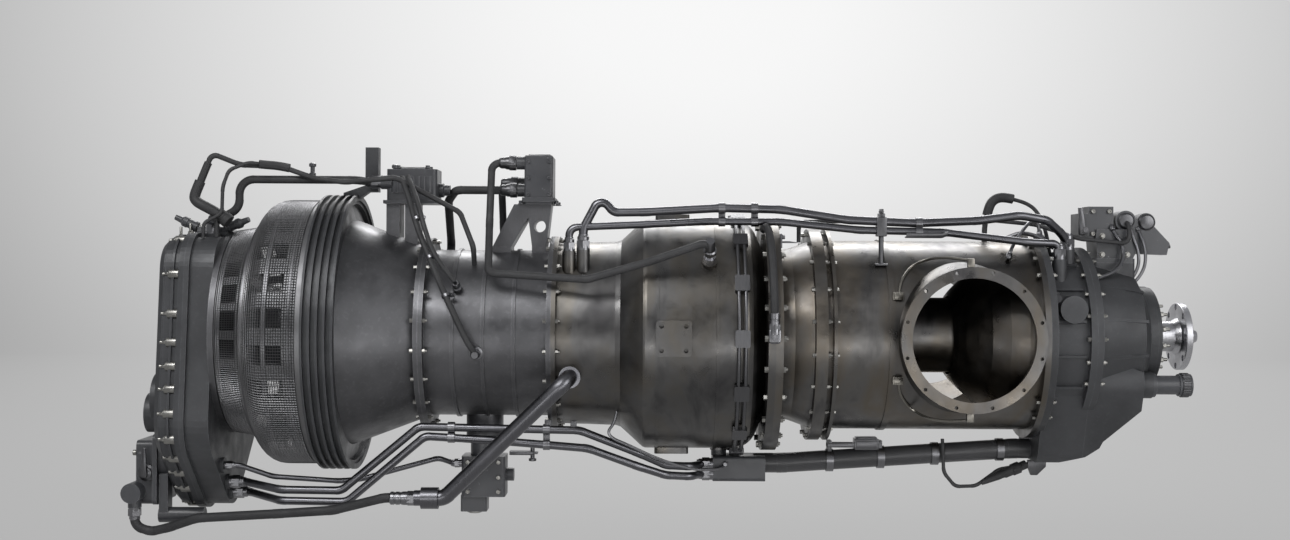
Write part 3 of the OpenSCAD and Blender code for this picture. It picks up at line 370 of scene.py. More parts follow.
def closed(piece, edge=0.0, segments=2):
    """Back to object mode with the faces outwards and the sharp edges broken."""
    bpy.ops.mesh.select_all(action="SELECT")
    bpy.ops.mesh.remove_doubles(threshold=1e-6)
    bpy.ops.mesh.normals_make_consistent(inside=False)
    bpy.ops.object.mode_set(mode="OBJECT")
    if edge:
        soft = piece.modifiers.new("broken_edges", "BEVEL")
        soft.width = edge * MM
        soft.segments = segments
        soft.limit_method = "ANGLE"
        soft.angle_limit = BREAK_ABOVE
        bpy.ops.object.modifier_apply(modifier=soft.name)
    bpy.ops.object.shade_smooth_by_angle(angle=SMOOTH_BELOW)
    return piece


def turned(name, rings, sides=24, edge=0.0):
    """A turned shape: a disc grown upwards through rings of (radius, height)."""
    radius, height = rings[0]
    alone()
    bpy.ops.mesh.primitive_circle_add(
        vertices=sides, radius=radius * MM, fill_type="NGON", location=mm(0, 0, height))
    piece = opened(name)
    bpy.ops.mesh.select_all(action="SELECT")
    for wide, high in rings[1:]:
        extrude(0, 0, high - height)
        if wide != radius:
            squeeze((wide / radius, wide / radius, 1), (0, 0, high))
        radius, height = wide, high
    return closed(piece, edge)


def open_ring(name, radius, wide, thick, sides, way):
    """A drum without its ends, given a wall: outwards for way 1, to both sides for way 0."""
    loop = drum(name, radius, wide, sides)
    pick(loop, lambda middle, normal: abs(normal.z) > FLAT)
    bpy.ops.mesh.delete(type="FACE")
    bpy.ops.object.mode_set(mode="OBJECT")
    wall = loop.modifiers.new("wall", "SOLIDIFY")
    wall.thickness = thick * MM
    wall.offset = way
    bpy.ops.object.modifier_apply(modifier=wall.name)
    bpy.ops.object.shade_smooth_by_angle(angle=SMOOTH_BELOW)
    return loop


def knurled(name, radius, high, sides, groove, swell):
    """A drum whose side stands out in ribs between narrow grooves."""
    ring = drum(name, radius, high, sides)
    pick(ring, lambda middle, normal: abs(normal.z) < 0.5)
    bpy.ops.mesh.inset(thickness=groove * MM, use_individual=True)
    squeeze((swell, swell, 1), (0, 0, high / 2))
    return closed(ring)


def joined(pieces, name):
    alone()
    for piece in pieces:
        piece.select_set(True)
    bpy.context.view_layer.objects.active = pieces[0]
    if len(pieces) > 1:
        bpy.ops.object.join()
    pieces[0].name = pieces[0].data.name = name
    return pieces[0]


def turn_to(piece, at, along, roll=0.0):
    """Turns a mesh so that its Z lies along a direction, and stands it at a point."""
    turn = Vector(along).to_track_quat("Z", "Y").to_matrix().to_4x4()
    piece.data.transform(
        Matrix.Translation(mm(*at)) @ turn @ Matrix.Rotation(math.radians(roll), 4, "Z"))
    return piece


def twin_of(piece):
    twin = piece.copy()
    twin.data = piece.data.copy()
    bpy.context.scene.collection.objects.link(twin)
    return twin


def set_down(pattern, name, places):
    """One piece made of copies of a pattern, stood at (point, direction)."""
    twins = [turn_to(twin_of(pattern), at, along) for at, along in places]
    bpy.data.objects.remove(pattern)
    return joined(twins, name)


def drawn(name, route, radius, order=3, sides=3):
    """A tube, rod or cable along a smooth route, with closed ends."""
    alone()
    bpy.ops.curve.primitive_nurbs_path_add()
    line = bpy.context.object
    line.name = name
    shape = line.data
    shape.splines.clear()
    course = shape.splines.new("NURBS")
    course.points.add(len(route) - 1)
    for knot, place in zip(course.points, route):
        knot.co = (*mm(*place), 1.0)
    course.order_u = min(order, len(route))
    course.use_endpoint_u = True
    shape.bevel_depth = radius * MM
    shape.bevel_resolution = sides
    shape.resolution_u = 6
    shape.use_fill_caps = True
    bpy.ops.object.convert(target="MESH")
    piece = bpy.context.object
    bpy.ops.object.mode_set(mode="EDIT")
    return closed(piece)


def fit(piece, finish, body="engine"):
    """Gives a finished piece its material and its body."""
    piece.data.materials.clear()
    piece.data.materials.append(finishes[finish])
    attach(piece, body)
    return piece


def skin(node, start, way):
    """Point where a line from outside first meets a CAD node, in mm, and the face's normal."""
    way = Vector(way).normalized()
    hit, place, normal, _ = nodes[node].ray_cast(mm(*start), way)
    return (tuple(place / MM), tuple(normal)) if hit else None


def round_the_shaft(count, first, radius=1.0):
    """Evenly spaced (y, z) round the shaft line, from a first angle in degrees off the top."""
    angles = [math.radians(360 * step / count + first) for step in range(count)]
    return [(radius * math.sin(a), radius * math.cos(a)) for a in angles]


# ---------------------------------------------------------------- hardware patterns


def hex_head(across, high):
    """Bolt head on its washer, chamfered on top."""
    washer = turned("washer", [(across * 0.66, 0), (across * 0.66, 1.1)], 20)
    head = drum("head", across * 0.55, high, 6)
    pick_end(head)
    draw_in(across * 0.05)
    shift(0, 0, 0.7)
    pick_end(head)
    draw_in(across * 0.16, -0.5)
    closed(head)
    return joined([washer, head], "hex_head")


def cap_screw(radius, high):
    """Round screw head with a hexagon socket."""
    head = drum("cap_screw", radius, high, 18)
    pick_end(head)
    draw_in(radius * 0.14, 0.4)
    draw_in(radius * 0.3, -high * 0.5)
    return closed(head, 0.25, 1)


def tube_nut(bore):
    """Coupling nut of a tube: hexagon, tapered collar and sleeve."""
    body = drum("nut", bore * 1.62, bore * 1.7, 6)
    pick_end(body)
    draw_in(bore * 0.14)
    shift(0, 0, 0.8)
    pick_end(body, -1)
    draw_in(bore * 0.14)
    closed(body)
    sleeve = turned("sleeve", [
        (bore * 1.5, -bore * 0.9), (bore * 1.5, 0), (bore * 1.32, bore * 1.5),
        (bore * 1.32, bore * 2.5), (bore * 1.1, bore * 2.8), (bore * 1.1, bore * 3.1)])
    return joined([body, sleeve], "tube_nut")


def band(radius, wide, thick):
    """Strap round a tube, with a bolted ear."""
    loop = open_ring("band", radius, wide, thick, 28, 1.0)
    ear = block("ear", (11, 5.0, wide * 0.8), (radius + 5.5, 0, wide / 2))
    closed(ear, 0.8)
    screw = turn_to(hex_head(6.5, 4), (radius + 6.5, 2.5, wide / 2), FAR)
    return joined([loop, ear, screw], "band")


def stud_and_nut(radius, tip, high, nut):
    """A stud with a hexagon nut just above its foot; nut is (across, height)."""
    stud = turned("stud", [(radius, 0), (radius, high), (tip, high + 1)], 12)
    return joined([stud, turn_to(hex_head(*nut), (0, 0, 1), UP)], "stud")


# ---------------------------------------------------------------- tube fittings

TOP_Y = -115    # plane of the two tubes along the top
OIL_Y = -100    # plane of the two oil tubes under the compressor

# Ends of the rigid tubes: radius of the tube, then each end and the way the tube leaves it
TUBE_ENDS = {
    8: [((-160, -115, 155), UP), ((712, -70, 163), UP)],
    7: [((-185, -115, 153), UP), ((690, -100, 146), UP)],
    7.5: [((-797, -48, -272), FORWARD), ((-797, -20, -294), FORWARD), ((70, -24, -238), REAR),
          ((70, -24, -256), REAR), ((-832, -60, 180), UP), ((-538, -30, 275), REAR)],
    5: [((-797, -84, -238), FORWARD), ((-389, -16, -240), REAR)],
}


def tube_nuts():
    groups = [set_down(tube_nut(bore), "nuts", ends) for bore, ends in TUBE_ENDS.items()]
    return joined(groups, "tube_nuts")


def ring_clamps():
    """Straps on the tubes, in pairs where two tubes run together."""
    wide, thick = 12, 1.6
    groups = [
        ("upper", 8.4, TOP_Y, ((80, 227.5), (138, 227.5), (430, 203))),
        ("lower", 7.4, TOP_Y, ((80, 204), (138, 204), (430, 188))),
        ("oil", 7.9, OIL_Y, ((-400, -165.5), (-230, -168.5), (-400, -184), (-230, -196))),
    ]
    return joined([
        set_down(band(radius, wide, thick), name, [((x, y, z), FORWARD) for x, z in places])
        for name, radius, y, places in groups], "ring_clamps")


def clamp_bridges():
    """Plates that tie the paired straps together."""
    bars = [closed(block("bridge", (12, 5, 20), (x, TOP_Y, 216)), 1.0) for x in (86, 144)]
    return joined(bars, "clamp_bridges")


def oil_bridges():
    """Plates that tie the two oil tubes under the compressor."""
    bars = [closed(block("bridge", (12, 4.4, high), (x, OIL_Y, z)), 1.0)
            for x, z, high in ((-394, -175, 8), (-224, -182.5, 14))]
    bars += [closed(block("post", (11, 8, 14), (x, OIL_Y, z)), 1.2)
             for x, z in ((-222, -158), (-176, -159))]
    return joined(bars, "oil_bridges")


def drain_line():
    """Thin drain from the belly of the casing, curling down and forward to the flow divider."""
    end_y = skin("flow_divider", (98, -200, -236), FAR)[0][1]
    line = drawn("line", [
        (-98, -100, -130), (-102, -101, -156), (-116, -103, -172), (-106, -103, -184),
        (-84, -101, -193), (-59, -97, -205), (-30, -89, -219), (-5, -80, -229), (20, -77, -237),
        (48, -73, -243), (76, -60, -244), (96, -44, -240), (98, end_y + 1, -236)], 2.6)
    nut = turn_to(tube_nut(3.0), (98, end_y - 3, -236), NEAR)
    return joined([line, nut], "drain_line")


def tube_post():
    """Post from the exhaust duct to the top tubes, with its clamp block and foot."""
    x, y = 369, TOP_Y
    foot = skin("exhaust_duct", (x, y, 400), DOWN)[0][2]
    base = block("base", (22, 16, 4), (x, y, foot))
    closed(base, 1.0)
    post = drum("post", 4.5, 188 - foot, 16)
    pick_end(post)
    draw_in(1.2, 6)
    closed(post, 0.5, 1)
    turn_to(post, (x, y, foot), UP)
    grip = block("grip", (18, 20, 34), (x, y, 196))
    pick_end(grip)
    draw_in(3, 7)
    draw_in(2.5, 3)
    closed(grip, 1.2)
    screw = turn_to(hex_head(8, 5), (x, y, 222), UP)
    return joined([base, post, grip, screw], "tube_post")


def guard_plate():
    """Chafing plate under the lower of the top tubes."""
    plate = block("guard_plate", (64, 16, 3), (444, -116, 178))
    pick_side(plate, 1, -1)
    extrude(0, -2, 6)
    pick_side(plate, 0, 1)
    extrude(10, 0, 4)
    return closed(plate, 0.8)


def hose_ends():
    """Crimped ferrule and nut at the far end of the fuel hose, plain nut at the pump."""
    ferrule = turned("ferrule", [
        (9.4, 0), (11.6, 1.5), (11.6, 8), (10.6, 9), (10.6, 11), (11.6, 12), (11.6, 18),
        (10.6, 19), (10.6, 21), (11.6, 22), (11.6, 27), (9.6, 29)], 24)
    nut = turn_to(tube_nut(8.0), (0, 0, -2), DOWN)
    far_end = turn_to(joined([ferrule, nut], "far_end"), (-466, -150, -285.5), REAR)
    pump_end = turn_to(tube_nut(7.4), (-971, -62, -320), DOWN)
    return joined([far_end, pump_end], "hose_ends")


def igniter_couplings():
    """Knurled coupling rings and boots on the ignition leads."""
    knurl = knurled("coupling", 13.2, 13, 28, 0.7, 1.035)
    boot = turned("boot", [(12.0, 12), (12.0, 18), (10.4, 21), (10.4, 27), (9.2, 30), (7.4, 32)])
    pattern = joined([knurl, boot], "coupling")
    places = [((-287, y, z), REAR) for y, z in ((-22, 312), (22, 276), (0, 263))]
    return set_down(pattern, "igniter_couplings", places)


def plug_caps():
    """Coupling nuts where the leads meet the igniter plugs."""
    pattern = turned("cap", [
        (9.5, 0), (11.5, 1), (11.5, 9), (9.2, 11), (9.2, 17), (8.4, 20), (8.4, 30), (7.3, 34)])
    plug_x, plug_r = 62, 238
    places = []
    for a in (math.radians(-52), math.radians(52)):
        way = Vector((0, math.sin(a), math.cos(a)))
        places.append(((plug_x, plug_r * way.y, plug_r * way.z), way))
    return set_down(pattern, "plug_caps", places)


def flange_tongue():
    """Pointed bracket standing forward from the casing flange, with its foot and bolt."""
    foot = block("foot", (4, 14, 26), (191, TOP_Y, 170))
    closed(foot, 1.0)
    tongue = block("tongue", (14, 11, 3.4), (199, TOP_Y, 168))
    pick_side(tongue, 0, 1)
    extrude(14, 0, -1)
    squeeze((1, 0.5, 0.4), (220, TOP_Y, 167))
    closed(tongue, 0.6)
    bolt = turn_to(hex_head(7, 4.5), (193, TOP_Y, 177), FORWARD)
    return joined([foot, tongue, bolt], "flange_tongue")


# ---------------------------------------------------------------- wiring and small lines


def loom_boots():
    """Moulded boots where the main loom leaves the rear gearbox."""
    elbow = drawn("elbow", [(-806, -90, 206), (-818, -89, 216), (-846, -86, 229),
                            (-863, -84, 239), (-858, -83, 252), (-850, -82, 272)], 9.5, 4, 4)
    neck = drawn("neck", [(-850, -82, 270), (-842, -81, 292), (-836, -80, 306)], 7.0)
    gland = turn_to(turned("gland", [(13, 0), (13, 10), (10.8, 12), (10.8, 20)]),
                    (-796, -91, 199), (-0.75, 0.05, 0.66))
    fork = drawn("fork", [
        (-744, -84, 303), (-730, -78, 302), (-712, -73, 301), (-692, -72, 297)], 8)
    return joined([elbow, neck, gland, fork], "loom_boots")


def side_leads():
    """Leads that run down the near side of the compressor casing."""
    first = drawn("first", [
        (-492, -60, 282), (-474, -96, 250), (-456, -124, 196), (-430, -150, 140),
        (-398, -166, 70), (-368, -172, 8), (-352, -172, -22), (-346, -158, -30)], 5.5)
    second = drawn("second", [
        (-480, -66, 284), (-458, -104, 246), (-442, -132, 196), (-424, -150, 150),
        (-404, -158, 120), (-384, -152, 96)], 4.5)
    ties = [turn_to(band(7.2, 5, 1.0), spot, (0.45, -0.3, -0.84))
            for spot in ((-456, -117, 208), (-428, -147, 139), (-398, -162, 72))]
    gland = turned("gland", [(12, 0), (12, 4), (8.6, 5), (8.6, 14), (7, 16), (6, 20)], 20)
    ties.append(turn_to(gland, (-345, -149, -29.5), (-0.06, -0.97, -0.2)))
    other = turned("other", [(9, 0), (9, 4), (7, 5), (7, 12), (5.4, 15)], 20)
    ties.append(turn_to(other, (-381, -136, 84), (-0.1, -0.84, 0.53)))
    return joined([first, second], "side_leads"), joined(ties, "lead_ties")


def port_wires():
    """Thin temperature leads clipped round the near exhaust port."""
    middle_x = 512
    near_duct = ((-118, 74), (-116, 92), (-104, 112), (-88, 128))
    near_rim = ((-68, -158, 139), (-44, -184, 142), (-20, -206, 139), (-2, -218, 136))
    runs = []
    for way in (1, -1):
        route = []
        for dx, dz in near_duct:
            x, z = middle_x + dx, way * dz
            route.append((x, skin("exhaust_duct", (x, -400, z), FAR)[0][1] - 4, z))
        route += [(middle_x + dx, y, way * dz) for dx, y, dz in near_rim]
        runs.append(drawn("run", route, 2.4))
        runs.append(closed(block("clip", (12, 9, 18), (middle_x - 6, -224, way * 131)), 1.2))
        x, y, z = route[0]
        box = block("terminal", (18, 10, 14), (x - 2, y, z))
        pick_side(box, 1, -1)
        draw_in(2)
        extrude(0, -3, 0)
        runs.append(closed(box, 0.8))
    return joined(runs, "port_wires")


def chip_lead_boot():
    """Tapered boot and coupling of the chip detector's lead."""
    boot = turned("boot", [(4.2, 0), (5.0, 6), (7.4, 34), (7.4, 44), (9.2, 48), (9.2, 62),
                           (11.0, 64), (11.0, 78), (8.2, 80), (8.2, 92)])
    return turn_to(boot, (571, -16, -271), (93, 16, 36))


def governor_lines():
    """Oil and air lines across the near side of the propeller governor."""
    lines = [
        drawn("long", [(805, -30, 196), (808, -36, 190), (820, -40, 168), (822, -46, 148),
                       (808, -62, 124), (772, -84, 108), (730, -104, 102)], 3.6),
        drawn("first", [(838, -24, 204), (840, -32, 186), (852, -36, 154), (852, -34, 124),
                        (842, -30, 108)], 3.0),
        drawn("second", [(856, -16, 196), (862, -26, 178), (868, -28, 150), (864, -26, 118),
                         (850, -24, 102)], 3.0),
    ]
    nuts = set_down(tube_nut(3.4), "nuts", [
        ((805, -27, 200), (0, -0.8, -0.6)), ((838, -22, 208), (0, -0.8, -0.6)),
        ((856, -13, 200), (0, -0.8, -0.6)), ((736, -101, 102.5), (-0.8, -0.5, -0.1))])
    return joined([*lines, nuts], "governor_lines")


def gearbox_loom():
    """Short loom and moulded boot over the top of the reduction gearbox."""
    foot = skin("exhaust_duct", (577, 0, 400), DOWN)[0][2]
    stem = drawn("stem", [
        (577, 0, foot - 1), (577, 0, foot + 20), (580, 0, 216), (586, 0, 236)], 5)
    boot = drawn("boot", [(582, 0, 222), (586, 0, 240), (596, 0, 252), (612, 0, 256),
                          (630, 0, 252)], 9.0, 3, 4)
    lead = drawn("lead", [(612, 0, 255), (640, 0, 250), (662, -4, 240), (674, -10, 226),
                          (684, -24, 196), (688, -36, 158), (688, -40, 148)], 3.6)
    return joined([stem, boot, lead], "gearbox_loom")


def pressure_lines():
    """Torque pressure lines and their fitting over the gearbox flange."""
    post = turn_to(turned("fitting", [(13, 0), (13, 5), (9.5, 6), (9.5, 22), (11, 24), (11, 30),
                                      (8, 33), (5, 36)]), (664, -60, 150), UP)
    short = drawn("short", [(664, -60, 180), (664, -60, 204), (648, -66, 212), (626, -84, 190),
                            (604, -100, 162), (596, -108, 140)], 3.2)
    cross = drawn("cross", [(600, -60, 176), (622, -66, 188), (644, -72, 186), (668, -80, 176),
                            (684, -84, 160)], 4.0)
    nuts = set_down(tube_nut(3.4), "nuts", [
        ((664, -60, 183), UP), ((598, -106, 144), (0.3, 0.3, 0.9))])
    return joined([post, short, cross, nuts], "pressure_lines")


def case_hose():
    """Hose from the top tubes down the near side of the turbine casing."""
    return drawn("case_hose", [
        (160, -112, 190), (163, -132, 197), (167, -160, 190), (170, -196, 140),
        (171, -216, 92), (172, -223, 50), (172, -223, 30), (172, -223, 14)], 7.2, 4)


def case_hose_end():
    """Crimped end, elbow block and screw that hold the hose to the casing flange."""
    crimp = turn_to(turned("crimp", [(8.2, 0), (9.6, 1), (9.6, 9), (8.8, 10), (8.8, 12), (9.6, 13),
                                     (9.6, 22), (8.2, 23)], 20), (172, -223, 22), UP)
    body = block("body", (20, 22, 20), (172, -219, 6))
    pick_end(body, -1)
    draw_in(3)
    shift(0, 0, -4)
    closed(body, 1.5)
    nut = turn_to(tube_nut(6.6), (172, -223, 14), UP)
    screw = turn_to(hex_head(8, 5), (172, -230, 5), NEAR)
    return joined([crimp, body, nut, screw], "case_hose_end")


# ---------------------------------------------------------------- brackets and units


def scavenge_rack():
    """Frame bracket lying on the scavenge tube, with its terminal housing."""
    frame_bar = block("rack", (52, 26, 8), (314, 0, -204))
    pick_end(frame_bar)
    draw_in(4, -6)
    closed(frame_bar, 0.8)
    housing = block("housing", (44, 30, 20), (360, 0, -202))
    pick_end(housing)
    draw_in(3, 3)
    pick_side(housing, 1, -1)
    draw_in(3)
    extrude(0, -2, 0)
    closed(housing, 1.2)
    legs = [closed(block("leg", (8, 24, 22), (x, 0, -206)), 1.0) for x in (292, 385)]
    return joined([frame_bar, housing, *legs], "scavenge_rack")


def scavenge_bands():
    """Straps that hold the rack and the lower lines to the scavenge tube."""
    slope = 0.0681    # how the scavenge tube climbs towards the gearbox
    places = [((x, 0, -238 + (x - 204) * slope), FORWARD) for x in (286, 380, 480, 600)]
    return set_down(band(19.2, 13, 1.8), "scavenge_bands", places)


def bleed_arm():
    """Arm and stop bolt on the side of the bleed valve."""
    x0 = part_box("bleed_valve")[1][0] / MM
    arm = block("arm", (44, 22, 7), (x0 + 14, 0, -222))
    pick_side(arm, 0, 1)
    draw_in(1.6)
    extrude(8, 0, 0)
    closed(arm, 1.2)
    bolt = turned("bolt", [(4, -14), (4, 6), (7, 6.5), (7, 11), (3, 12)], 16)
    turn_to(bolt, (x0 + 34, 0, -226), DOWN)
    return joined([arm, bolt], "bleed_arm")


def tail_bracket():
    """Three-cornered bracket under the front of the gearbox."""
    plate = block("tail_bracket", (34, 8, 12), (676, 0, -236))
    pick_end(plate, -1)
    extrude(0, 0, -16)
    squeeze((0.34, 1, 1), (668, 0, -250))
    return closed(plate, 1.0)


def side_lug():
    """Lifting lug bolted to the near side of the gearbox flange."""
    plate = drum("plate", 24, 7, 3)
    closed(plate, 6.0, 4)
    eye = turned("eye", [(9.5, 0), (9.5, 10), (7.5, 11.5)], 24)
    bolts = set_down(hex_head(7, 4.5), "bolts", [
        ((10 * math.cos(a), 10 * math.sin(a), 7), UP) for a in (1.05, 3.14, 5.24)])    # radians
    lug = joined([plate, eye, bolts], "side_lug")
    spot, normal = skin("reduction_gearbox_rear", (676, -400, 66), FAR)
    return turn_to(lug, spot, normal, 30)


def gearbox_cover_lugs():
    """Bolt lugs round the rear cover of the accessory gearbox."""
    lug = turned("lug", [(9, 0), (9, 16), (8, 18)], 18)
    nut = turn_to(hex_head(8.5, 6), (0, 0, 18), UP)
    stud = turn_to(turned("stud", [(3.2, 0), (3.2, 6), (2.4, 7)], 12), (0, 0, 23), UP)
    pattern = joined([lug, nut, stud], "lug")
    places = []
    outside, middle_z, sunk = 600, -90, 3
    for dy, dz in round_the_shaft(26, 5):
        start = (-872, outside * dy, middle_z + outside * dz)
        spot = skin("accessory_gearbox_cover", start, (0, -dy, -dz))
        if spot:
            y, z = spot[0][1:]
            places.append(((-868, y - dy * sunk, z - dz * sunk), REAR))
    return set_down(pattern, "gearbox_cover_lugs", places)


def top_terminal():
    """Terminal block with three connectors on top of the accessory gearbox."""
    base = block("base", (60, 46, 10), (-838, -30, 177))
    pick_end(base)
    draw_in(3, 9)
    closed(base, 1.5)
    plug = turned("plug", [(10, 0), (10, 5), (8.4, 6), (8.4, 18), (9.6, 19), (9.6, 27), (6, 31),
                           (5, 44)], 22)
    plugs = set_down(plug, "plugs", [((-866, -42, 190), (-0.9, 0, 0.42)),
                                     ((-838, -48, 192), (0.3, -0.75, 0.45)),
                                     ((-812, -36, 190), (0.92, -0.2, 0.34))])
    return joined([base, plugs], "top_terminal")


def lifting_studs():
    """Studs with nuts standing on the top of the rear cover."""
    pattern = stud_and_nut(2.6, 2.0, 20, (8, 5))
    spots = [skin("accessory_gearbox_cover", (x, y, 400), DOWN)
             for x in (-893, -876) for y in (-52, 20, 58)]
    return set_down(pattern, "lifting_studs", [(spot[0], UP) for spot in spots if spot])


def pump_screws():
    """Socket screws and plugs on the rear of the fuel pump."""
    rear = -972
    screws = set_down(cap_screw(5.2, 6), "screws", [
        ((rear, y, z), REAR) for y in (-50, 50) for z in (-292, -220)])
    plugs = set_down(hex_head(13, 7), "plugs", [
        ((rear, -14, -246), REAR), ((rear, 22, -232), REAR), ((rear, -14, -214), REAR)])
    return joined([screws, plugs], "pump_screws")


def pump_lever():
    """Power lever and its pivot on the near side of the fuel pump."""
    seat = turn_to(turned("seat", [(15, 0), (15, 4), (11, 6), (11, 11), (6, 13), (6, 17)], 24),
                   (-952, -53, -256), NEAR)
    lever = block("lever", (10, 6, 54), (-952, -70, -236))
    pick_end(lever)
    squeeze((0.6, 1, 1), (-952, -70, -209))
    closed(lever, 1.4)
    return joined([seat, lever], "pump_lever")


def governor_screws():
    """Cover screws on the near side of the propeller governor."""
    screws = set_down(cap_screw(4, 4.5), "screws", [
        ((x, -26, z), NEAR) for x, z in ((770, 188), (800, 188), (770, 229), (800, 229))])
    body = set_down(hex_head(8, 5), "body", [
        ((x, -32, z), NEAR) for x, z in ((786, 150), (786, 184), (832, 150), (834, 180))])
    return joined([screws, body], "governor_screws")


def governor_trim():
    """End caps, stop screw and speed lever of the propeller governor."""
    domes = set_down(turned("dome", [(15, 0), (15, 3), (12, 6), (6, 7)], 28), "domes",
                     [((832, -22, 212), NEAR), ((871, -17, 210), NEAR)])
    stop = turn_to(turned("stop", [(3, -4), (3, 6), (5, 6.5), (5, 9), (2.5, 10)], 14),
                   (911, 0, 165), (0.96, 0, 0.28))
    lever = block("lever", (12, 5, 40), (752, -30, 206))
    pick_end(lever)
    shift(-6, 0, 10)
    squeeze((0.7, 1, 1), (746, -30, 236))
    closed(lever, 1.4)
    pivot = turn_to(turned("pivot", [(7, 0), (7, 8), (4, 9), (4, 12)], 18), (754, -25, 194), NEAR)
    return joined([domes, stop, lever, pivot], "governor_trim")


def exciter_trim():
    """Lid seam, screws and mounting feet of the ignition exciter."""
    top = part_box("ignition_exciter")[1][2] / MM
    near = -43
    screws = set_down(cap_screw(3.6, 3.4), "screws", [
        ((x, near, z), NEAR) for x in (-264, -226) for z in (254, 284, 314)])
    feet = set_down(hex_head(9, 6), "feet", [
        ((x, y, 236), UP) for x in (-277, -213) for y in (-34, 34)])
    lid = block("lid", (49, 83, 4), (-245, 0, top - 1))
    pick_end(lid)
    draw_in(6, 1.5)
    closed(lid, 1.5)
    ribs = [closed(block("rib", (40, 2.4, 5), (-245, y, top + 2)), 0.6) for y in (-18, 0, 18)]
    return joined([screws, feet, lid, *ribs], "exciter_trim")


def heater_trim():
    """End covers, bolts and bleed fittings of the fuel heater."""
    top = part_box("fuel_heater")[1][2] / MM
    cover = block("cover", (60, 44, 4), (-477, 0, top + 1))
    pick_end(cover)
    draw_in(5, 2)
    closed(cover, 2.0)
    bolts = set_down(hex_head(8, 5), "bolts", [
        ((x, y, top + 2), UP) for x in (-504, -450) for y in (-20, 20)])
    fitting = turned("fitting", [
        (6, 0), (6, 5), (4, 6), (4, 16), (6.5, 17), (6.5, 22), (3, 24)], 16)
    vents = set_down(fitting, "vents", [((-508, -30, 284), UP), ((-653, -60, 284), UP)])
    side = turn_to(turned("side", [(13, 0), (13, 8), (10, 10), (10, 20)], 22),
                   (-431, 0, 262), FORWARD)
    return joined([cover, bolts, vents, side], "heater_trim")


def valve_trim():
    """Screws and the cap of the compressor bleed valve."""
    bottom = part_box("bleed_valve")[0][2] / MM
    screws = set_down(cap_screw(4, 4.5), "screws", [
        ((x, -32, z), NEAR) for x in (-372, -316) for z in (-236, -264, -290)])
    cap = turn_to(turned("cap", [(15, 0), (15, 5), (11, 7), (5, 8)], 24),
                  (-362, 0, bottom + 2), DOWN)
    return joined([screws, cap], "valve_trim")


def screen_hoops():
    """Clamping hoops round the inlet screen."""
    hoops = []
    for x in (-790, -744, -698, -656):
        spot = skin("inlet_screen", (x, -400, 0), FAR)
        hoop = open_ring("hoop", abs(spot[0][1]) + 0.8, 6, 1.6, 120, 0.0)
        hoops.append(turn_to(hoop, (x - 3, 0, 0), FORWARD))
    return joined(hoops, "screen_hoops")


def screen_cloth():
    """Woven wire over the inlet screen: rings and bars of fine wire."""
    first_x, pitch, clear = -795, 4.4, 1.4
    rows = []
    for step in range(35):
        x = first_x + step * pitch
        spot = skin("inlet_screen", (x, -400, 0), FAR)
        if spot:
            rows.append((x, abs(spot[0][1]) + clear))
    alone()
    x, radius = rows[0]
    bpy.ops.mesh.primitive_circle_add(vertices=300, radius=radius * MM, location=mm(0, 0, x))
    cloth = opened("screen_cloth")
    bpy.ops.mesh.select_mode(type="EDGE")
    bpy.ops.mesh.select_all(action="SELECT")
    for further, wider in rows[1:]:
        extrude(0, 0, further - x)
        squeeze((wider / radius, wider / radius, 1), (0, 0, further))
        x, radius = further, wider
    bpy.ops.object.mode_set(mode="OBJECT")
    wires = cloth.modifiers.new("wires", "WIREFRAME")
    wires.thickness = 1.9 * MM
    wires.use_even_offset = False
    bpy.ops.object.modifier_apply(modifier=wires.name)
    return turn_to(cloth, (0, 0, 0), FORWARD)


def sensor_knurl():
    """Knurled coupling on the end of the speed sensor."""
    low, high = [Vector(v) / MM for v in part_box("speed_sensor")]
    ring = knurled("ring", 21.5, 14, 36, 0.8, 1.03)
    return turn_to(ring, (high.x - 18, (low.y + high.y) / 2, (low.z + high.z) / 2), FORWARD)


def fire_seal_nuts():
    """Small nuts on the sealing ring ahead of the duct's rear flange."""
    places = [((284, y, z), FORWARD) for y, z in round_the_shaft(20, 9, 186)]
    return set_down(hex_head(6, 3.6), "fire_seal_nuts", places)


def front_studs():
    """Studs and nuts round the thrust bearing cover."""
    pattern = stud_and_nut(3, 2.2, 14, (9, 6))
    spots = [skin("thrust_bearing_cover", (1000, y, z), REAR)
             for y, z in round_the_shaft(12, 15, 58)]
    return set_down(pattern, "front_studs", [(spot[0], FORWARD) for spot in spots if spot])


